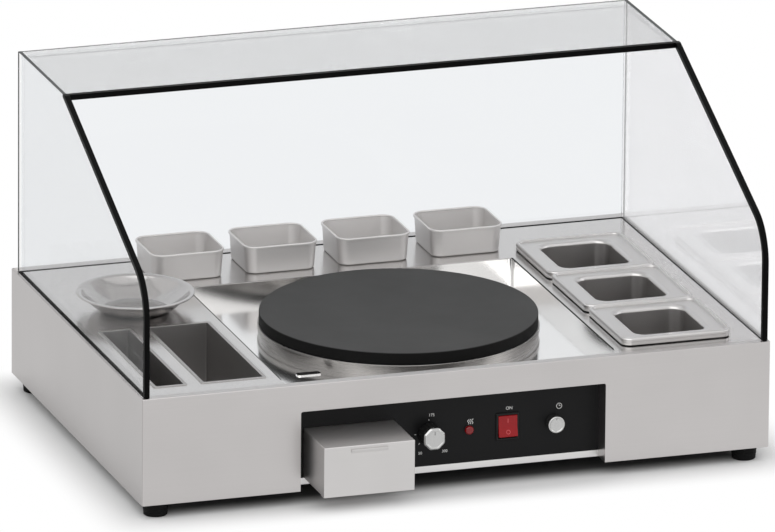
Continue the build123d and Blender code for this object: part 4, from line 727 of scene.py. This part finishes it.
for side, way in (("left", -1), ("right", 1)):
    outer, inner = sorted((way * 463.2, way * 461.6)), sorted((way * 463.0, way * 458.2))
    place_piece("ground_corner_" + side, "cabinet", ground_glass,
                [ground_bar((outer[0], 323.6, 181), (outer[1], 324.9, 511), "z")])
    place_piece("ground_top_" + side, "cabinet", ground_glass,
                [ground_bar((inner[0], 101, 510.8), (inner[1], 324.2, 511.6), "y")])
place_piece("ground_top_rear", "cabinet", ground_glass,
            [ground_bar((-458, 323.9, 509.8), (458, 324.7, 511.2), "x")])
for side, x in (("left", -254.0), ("right", 242.0)):
    place_piece("well_seam_" + side, "cabinet", seal_rubber,
                [ground_bar((x - 0.7, -268, 178.6), (x + 0.7, 181, 180.2), "y")])
print("ground edges: 5 bars, and 2 seams")

# %% [markdown]
# ## Knobs, lamp and rocker
#
# Each control is a small study in how it is held. The heat knob has a fluted black grip behind an
# eight-sided silver cap, the timer a plain turned knob, the lamp a domed lens, and the switch a rocker that
# is dished on both faces so that a fingertip finds it. All but the rocker are lathed about the line that
# comes out of the panel towards the user, and the grip and the cap are then cut to shape.

# %% Heat knob
FASCIA, CONTROLS_HEIGHT = -269.25, 80.0
FLUTES, FLUTE_DEPTH = 16, 0.9
# aluminium, turned and satin anodised: a neutral silver beside the warmer steel, with fine rings round it
silver = stainless("satin_turned_aluminium", "#bdbdbc", 0.22, "xz", streak=0.05, relief=0.01)
temp_middle = (-34.0, FASCIA, CONTROLS_HEIGHT)
grip_profile = rounded_path([(6, 1), (16.5, 1), (16.5, 22), (0, 22)], [0.5, 1.0])
grip_grid = turned(grip_profile, temp_middle, 192, "user")
around = grip_grid - np.array(temp_middle)
turn = np.arctan2(around[..., 2], around[..., 0])
reach_out = np.hypot(around[..., 0], around[..., 2])
# a flute is a cosine round the grip, lifted above 0 and squared, and it fades out on the way to the axis
flute = FLUTE_DEPTH * (0.5 + 0.5 * np.cos(FLUTES * turn)) ** 2 * np.clip((reach_out - 14) / 2, 0, 1)
share = np.where(reach_out > 0, 1 - flute / np.maximum(reach_out, 1e-6), 1)
grip_grid[..., 0] = temp_middle[0] + around[..., 0] * share
grip_grid[..., 2] = temp_middle[2] + around[..., 2] * share
place_piece("heat_knob_grip", "temp_knob", grip_black, [grip_grid], ["temp_knob_skirt"])


def octagon(apothem, turn, corner=6.0):
    """Distance to the edge of a rounded octagon: apothem / cos(angle off the flat), or an arc at a corner."""
    off = (turn + np.pi / 8) % (np.pi / 4) - np.pi / 8
    flat_edge = apothem / np.cos(off)
    spoke = (apothem - corner) / np.cos(np.pi / 8)
    past = np.pi / 8 - np.abs(off)
    arc = spoke * np.cos(past) + np.sqrt(np.maximum(corner**2 - (spoke * np.sin(past)) ** 2, 0))
    tangent = np.arctan((apothem - corner) * np.tan(np.pi / 8) / apothem)
    return np.where(np.abs(off) > tangent, arc, flat_edge)


CAP_APOTHEM = 16.0
cap_profile = rounded_path([(0, 22), (16, 22), (16, 27), (14, 29), (12.2, 29), (11.6, 28.6), (0, 28.6)],
                           [0.4, 0.5, 0.4, 0.2, 0.2], steps=5)
turn = np.linspace(0, 2 * np.pi, 128, endpoint=False)
cap_reach = cap_profile[:, :1] / CAP_APOTHEM * octagon(CAP_APOTHEM, turn)
cap_grid = np.stack([cap_reach * np.cos(turn), np.broadcast_to(-cap_profile[:, 1:], cap_reach.shape),
                     cap_reach * np.sin(turn)], -1) + np.array(temp_middle)
place_piece("heat_knob_cap", "temp_knob", silver, [cap_grid], ["temp_knob_cap"], crease=25)

# %% Timer knob and lamp lens
timer_middle = (152.5, FASCIA, CONTROLS_HEIGHT)
timer_profile = rounded_path([(0, -15), (3, -15), (3, 5), (6, 5), (6, 1), (12.5, 1), (12.5, 16), (10.2, 16),
                              (9.4, 15.4), (0, 15.0)], [0.3, 0, 0, 0, 0.4, 1.6, 0.3, 0.3])
place_piece("timer_knob_turned", "timer_knob", silver,
            [turned(timer_profile, timer_middle, 128, "user")], ["timer_knob"])
lamp_middle = (26.0, FASCIA, CONTROLS_HEIGHT)
lens_profile = rounded_path([(0, -12), (5.35, -12), (5.35, 1.05), (6.6, 1.05), (6.6, 5.5), (0, 5.5)],
                            [0.3, 0.2, 0.3, 3.4], steps=9)
place_piece("ready_lamp_dome", "cabinet", lens_red,
            [turned(lens_profile, lamp_middle, 48, "user")], ["ready_lamp_lens"])
print("knob and lens rows:", len(timer_profile), len(lens_profile))

# %% Rocker
# the section as (depth, height) in the rocker's own frame, which leans 7 degrees back
tilt = np.radians(7.0)
rocker_middle = np.array([83.5, FASCIA + 3.0, CONTROLS_HEIGHT])
deep_way = np.array([0, np.cos(tilt), -np.sin(tilt)])
up_way = np.array([0, np.sin(tilt), np.cos(tilt)])
rocker_section = rounded_path(
    [(3, 0), (3, 10.2), (-5.5, 16.15), (-8, 15.15), (-6.2, 0), (-8, -15.15), (-5.5, -16.15), (3, -10.2),
     (3, 0)],
    [1, 0.8, 0.8, 40, 0.8, 0.8, 1], steps=8)[:-1]
rocker_across = np.array([-14.0, -13.9, -13.5, 13.5, 13.9, 14.0])
rocker_share = np.array([0.95, 0.98, 1.0, 1.0, 0.98, 0.95])[:, None, None]
flat_section = (rocker_section - (-2, 0)) * rocker_share + (-2, 0)
rocker_grid = (rocker_middle + rocker_across[:, None, None] * np.array([1, 0, 0])
               + flat_section[..., :1] * deep_way + flat_section[..., 1:] * up_way)
pin = turned(rounded_path([(0, -14.9), (1.5, -14.9), (1.5, 14.9), (0, 14.9)], [0.3, 0.3]), (0, 0, 0), 24)
pin = pin[..., [2, 1, 0]] + rocker_middle
place_piece("power_rocker_dished", "power_rocker", rocker_red, [rocker_grid, pin],
            ["power_rocker"])
print("rocker", round(np.ptp(rocker_across), 1), "mm across")

# %% [markdown]
# ## Print on the panel
#
# The panel is screen-printed before it is fitted: white ink about 0.1 mm thick, in ticks, plain numbers and
# small signs. Ink stands on the surface, so each mark is a thin slab with its outline as a ring. Numbers
# are set as text, made a mesh, and then turned to face the user.

# %% Marks
INK = 0.10


def mark(name, outlines, body="cabinet", material=print_white, face=FASCIA, thick=INK):
    """Slabs of ink: each outline (x, z) is one ring on the face and one ring proud of it."""
    grids = [np.stack([np.stack([ring[:, 0], np.full(len(ring), depth), ring[:, 1]], -1)
                       for depth in (face + 0.02, face - thick)]) for ring in outlines]
    return place_piece(name, body, material, grids)


def bar(x, z, length, width, angle):
    """A tick: a rectangle about (x, z) that points angle degrees from upright, clockwise."""
    long_way = np.array([np.sin(np.radians(angle)), np.cos(np.radians(angle))]) * length / 2
    wide_way = np.array([long_way[1], -long_way[0]]) * width / length
    return np.array([x, z]) + np.array([long_way + wide_way, -long_way + wide_way, -long_way - wide_way,
                                        long_way - wide_way])


def wave(x, z, height, swing, width, turns=1.25):
    """A rising ripple: a band of constant width about x + swing sin(2 pi turns t), t from bottom to top."""
    t = np.linspace(0, 1, 24)
    line = np.stack([x + swing * np.sin(2 * np.pi * turns * t), z + height * (t - 0.5)], -1)
    step = np.gradient(line, axis=0)
    side = np.stack([step[:, 1], -step[:, 0]], -1) / np.linalg.norm(step, axis=1, keepdims=True) * width / 2
    return np.concatenate([line + side, (line - side)[::-1]])


def words(name, text, x, z, size):
    """Text in ink: laid flat as a font curve, made a mesh, then stood up on the panel."""
    curve = bpy.data.curves.new(name + "_type", "FONT")
    curve.body, curve.size, curve.extrude = text, size * MM, INK / 2 * MM
    curve.align_x, curve.align_y = "CENTER", "CENTER"
    typed = bpy.data.objects.new(name + "_type", curve)
    bpy.context.scene.collection.objects.link(typed)
    bpy.context.view_layer.update()
    mesh = bpy.data.meshes.new_from_object(typed)
    bpy.data.objects.remove(typed)
    mesh.transform(Matrix([[1, 0, 0, x * MM], [0, 0, -1, (FASCIA - INK / 2) * MM], [0, 1, 0, z * MM],
                           [0, 0, 0, 1]]))
    mesh.materials.clear()
    mesh.materials.append(print_white)
    piece = bpy.data.objects.new(name, mesh)
    bpy.context.scene.collection.objects.link(piece)
    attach(piece, "cabinet")


# %% Ticks, numbers and signs
DIAL_RADIUS = 20.2
dial = [bar(temp_middle[0] + DIAL_RADIUS * np.sin(np.radians(angle)),
            temp_middle[2] + DIAL_RADIUS * np.cos(np.radians(angle)), 2.4, 0.7, angle)
        for angle in (-135, -90, 0, 90, 135)]
mark("dial_ticks", dial)
words("dial_low", "50", -46.5, 51.5, 5.6)
words("dial_middle", "175", -30.0, 107.0, 6.0)
words("dial_high", "300", -10.0, 51.5, 5.6)
mark("heat_sign", [wave(28 + step, 92, 7.5, 0.9, 0.8) for step in (-3, 0, 3)])
words("switch_word", "ON", 86.0, 106.5, 6.4)
# the clock sign: a flat ring of ink, with its hands at three and twelve
CLOCK_X, CLOCK_Z, CLOCK_OUTER, CLOCK_INNER = 161.0, 103.0, 4.3, 3.6
round_turns = np.linspace(0, 2 * np.pi, 48, endpoint=False)
clock_rim = np.stack([[CLOCK_X + r * np.sin(round_turns), np.full(48, depth),
                       CLOCK_Z + r * np.cos(round_turns)]
                      for r, depth in ((CLOCK_OUTER, FASCIA + 0.02), (CLOCK_OUTER, FASCIA - INK),
                                       (CLOCK_INNER, FASCIA - INK), (CLOCK_INNER, FASCIA + 0.02),
                                       (CLOCK_OUTER, FASCIA + 0.02))]).transpose(0, 2, 1)
place_piece("clock_sign_rim", "cabinet", print_white, [clock_rim], lids=False)
mark("clock_sign_hands", [bar(CLOCK_X, CLOCK_Z + 1.3, 2.8, 0.6, 0), bar(CLOCK_X + 1, CLOCK_Z, 2.2, 0.6, 90)])
# pointers lie on the knobs' own faces, 28.6 and 15.1 mm in front of the panel
mark("heat_knob_pointer", [bar(temp_middle[0], 88.6, 5.0, 0.7, 0)], "temp_knob", grip_black,
     FASCIA - 28.6, 0.12)
mark("timer_knob_pointer", [bar(timer_middle[0], 88.4, 3.0, 0.6, 0)], "timer_knob",
     grip_black, FASCIA - 15.1, 0.35)
print("dial", 2 * DIAL_RADIUS, "mm across its ticks")

# %% [markdown]
# ## Marks on the rocker
#
# Rockers carry a bar for on and a ring for off, moulded in white. They follow the dish of the face: the
# depth at a height q from the pivot is 6.2 mm, plus 1.8 mm times q over 15.15.

# %% Rocker marks
def on_rocker(across, q, proud):
    """A point on the rocker's dished face, proud of it by so much, in the panel's frame."""
    depth = -6.2 - 1.8 * np.abs(q) / 15.15 - proud
    return rocker_middle + np.stack([across, depth * deep_way[1] + q * up_way[1],
                                     depth * deep_way[2] + q * up_way[2]], -1)


bar_ring = bar(0, 8.2, 6.2, 1.1, 0)
bar_grid = np.stack([on_rocker(bar_ring[:, 0], bar_ring[:, 1], proud) for proud in (-0.25, 0.10)])
off_grid = np.stack([on_rocker(r * np.cos(round_turns), -8.4 + r * np.sin(round_turns), proud)
                     for r, proud in ((3.2, -0.3), (3.2, 0.10), (2.3, 0.10), (2.3, -0.3), (3.2, -0.3))])
place_piece("rocker_on_mark", "power_rocker", rocker_pale, [bar_grid])
place_piece("rocker_off_mark", "power_rocker", rocker_pale, [off_grid], lids=False)
print("marks on the rocker:", len(bar_grid[0]), "and", len(round_turns), "points round")

# %% [markdown]
# ## Rubber feet
#
# The feet are moulded rubber pots, narrower below, with three grooves that let the mould part and the hand
# grip. A pocket from below takes the screw.

# %% Feet
foot_profile = rounded_path(
    [(3.4, 22), (3.4, 16), (7, 16), (7, 0), (17, 0), (17.5, 5), (16.9, 5.6), (16.9, 6.4), (17.7, 7.0),
     (18.1, 11), (17.5, 11.6), (17.5, 12.4), (18.3, 13), (18.6, 17), (18.0, 17.6), (18.0, 18.4), (18.8, 19),
     (19, 22), (3.4, 22)],
    [0, 0.5, 1, 1.5, 0.3, 0.2, 0.2, 0.3, 0.3, 0.2, 0.2, 0.3, 0.3, 0.2, 0.2, 0.3, 0.4])
for place_name in ("front_left", "front_right", "rear_left", "rear_right"):
    node = "foot_" + place_name
    place_piece("rubber_" + node, "cabinet", foot_rubber,
                [turned(foot_profile, middle(node), 64)], [node], lids=False)
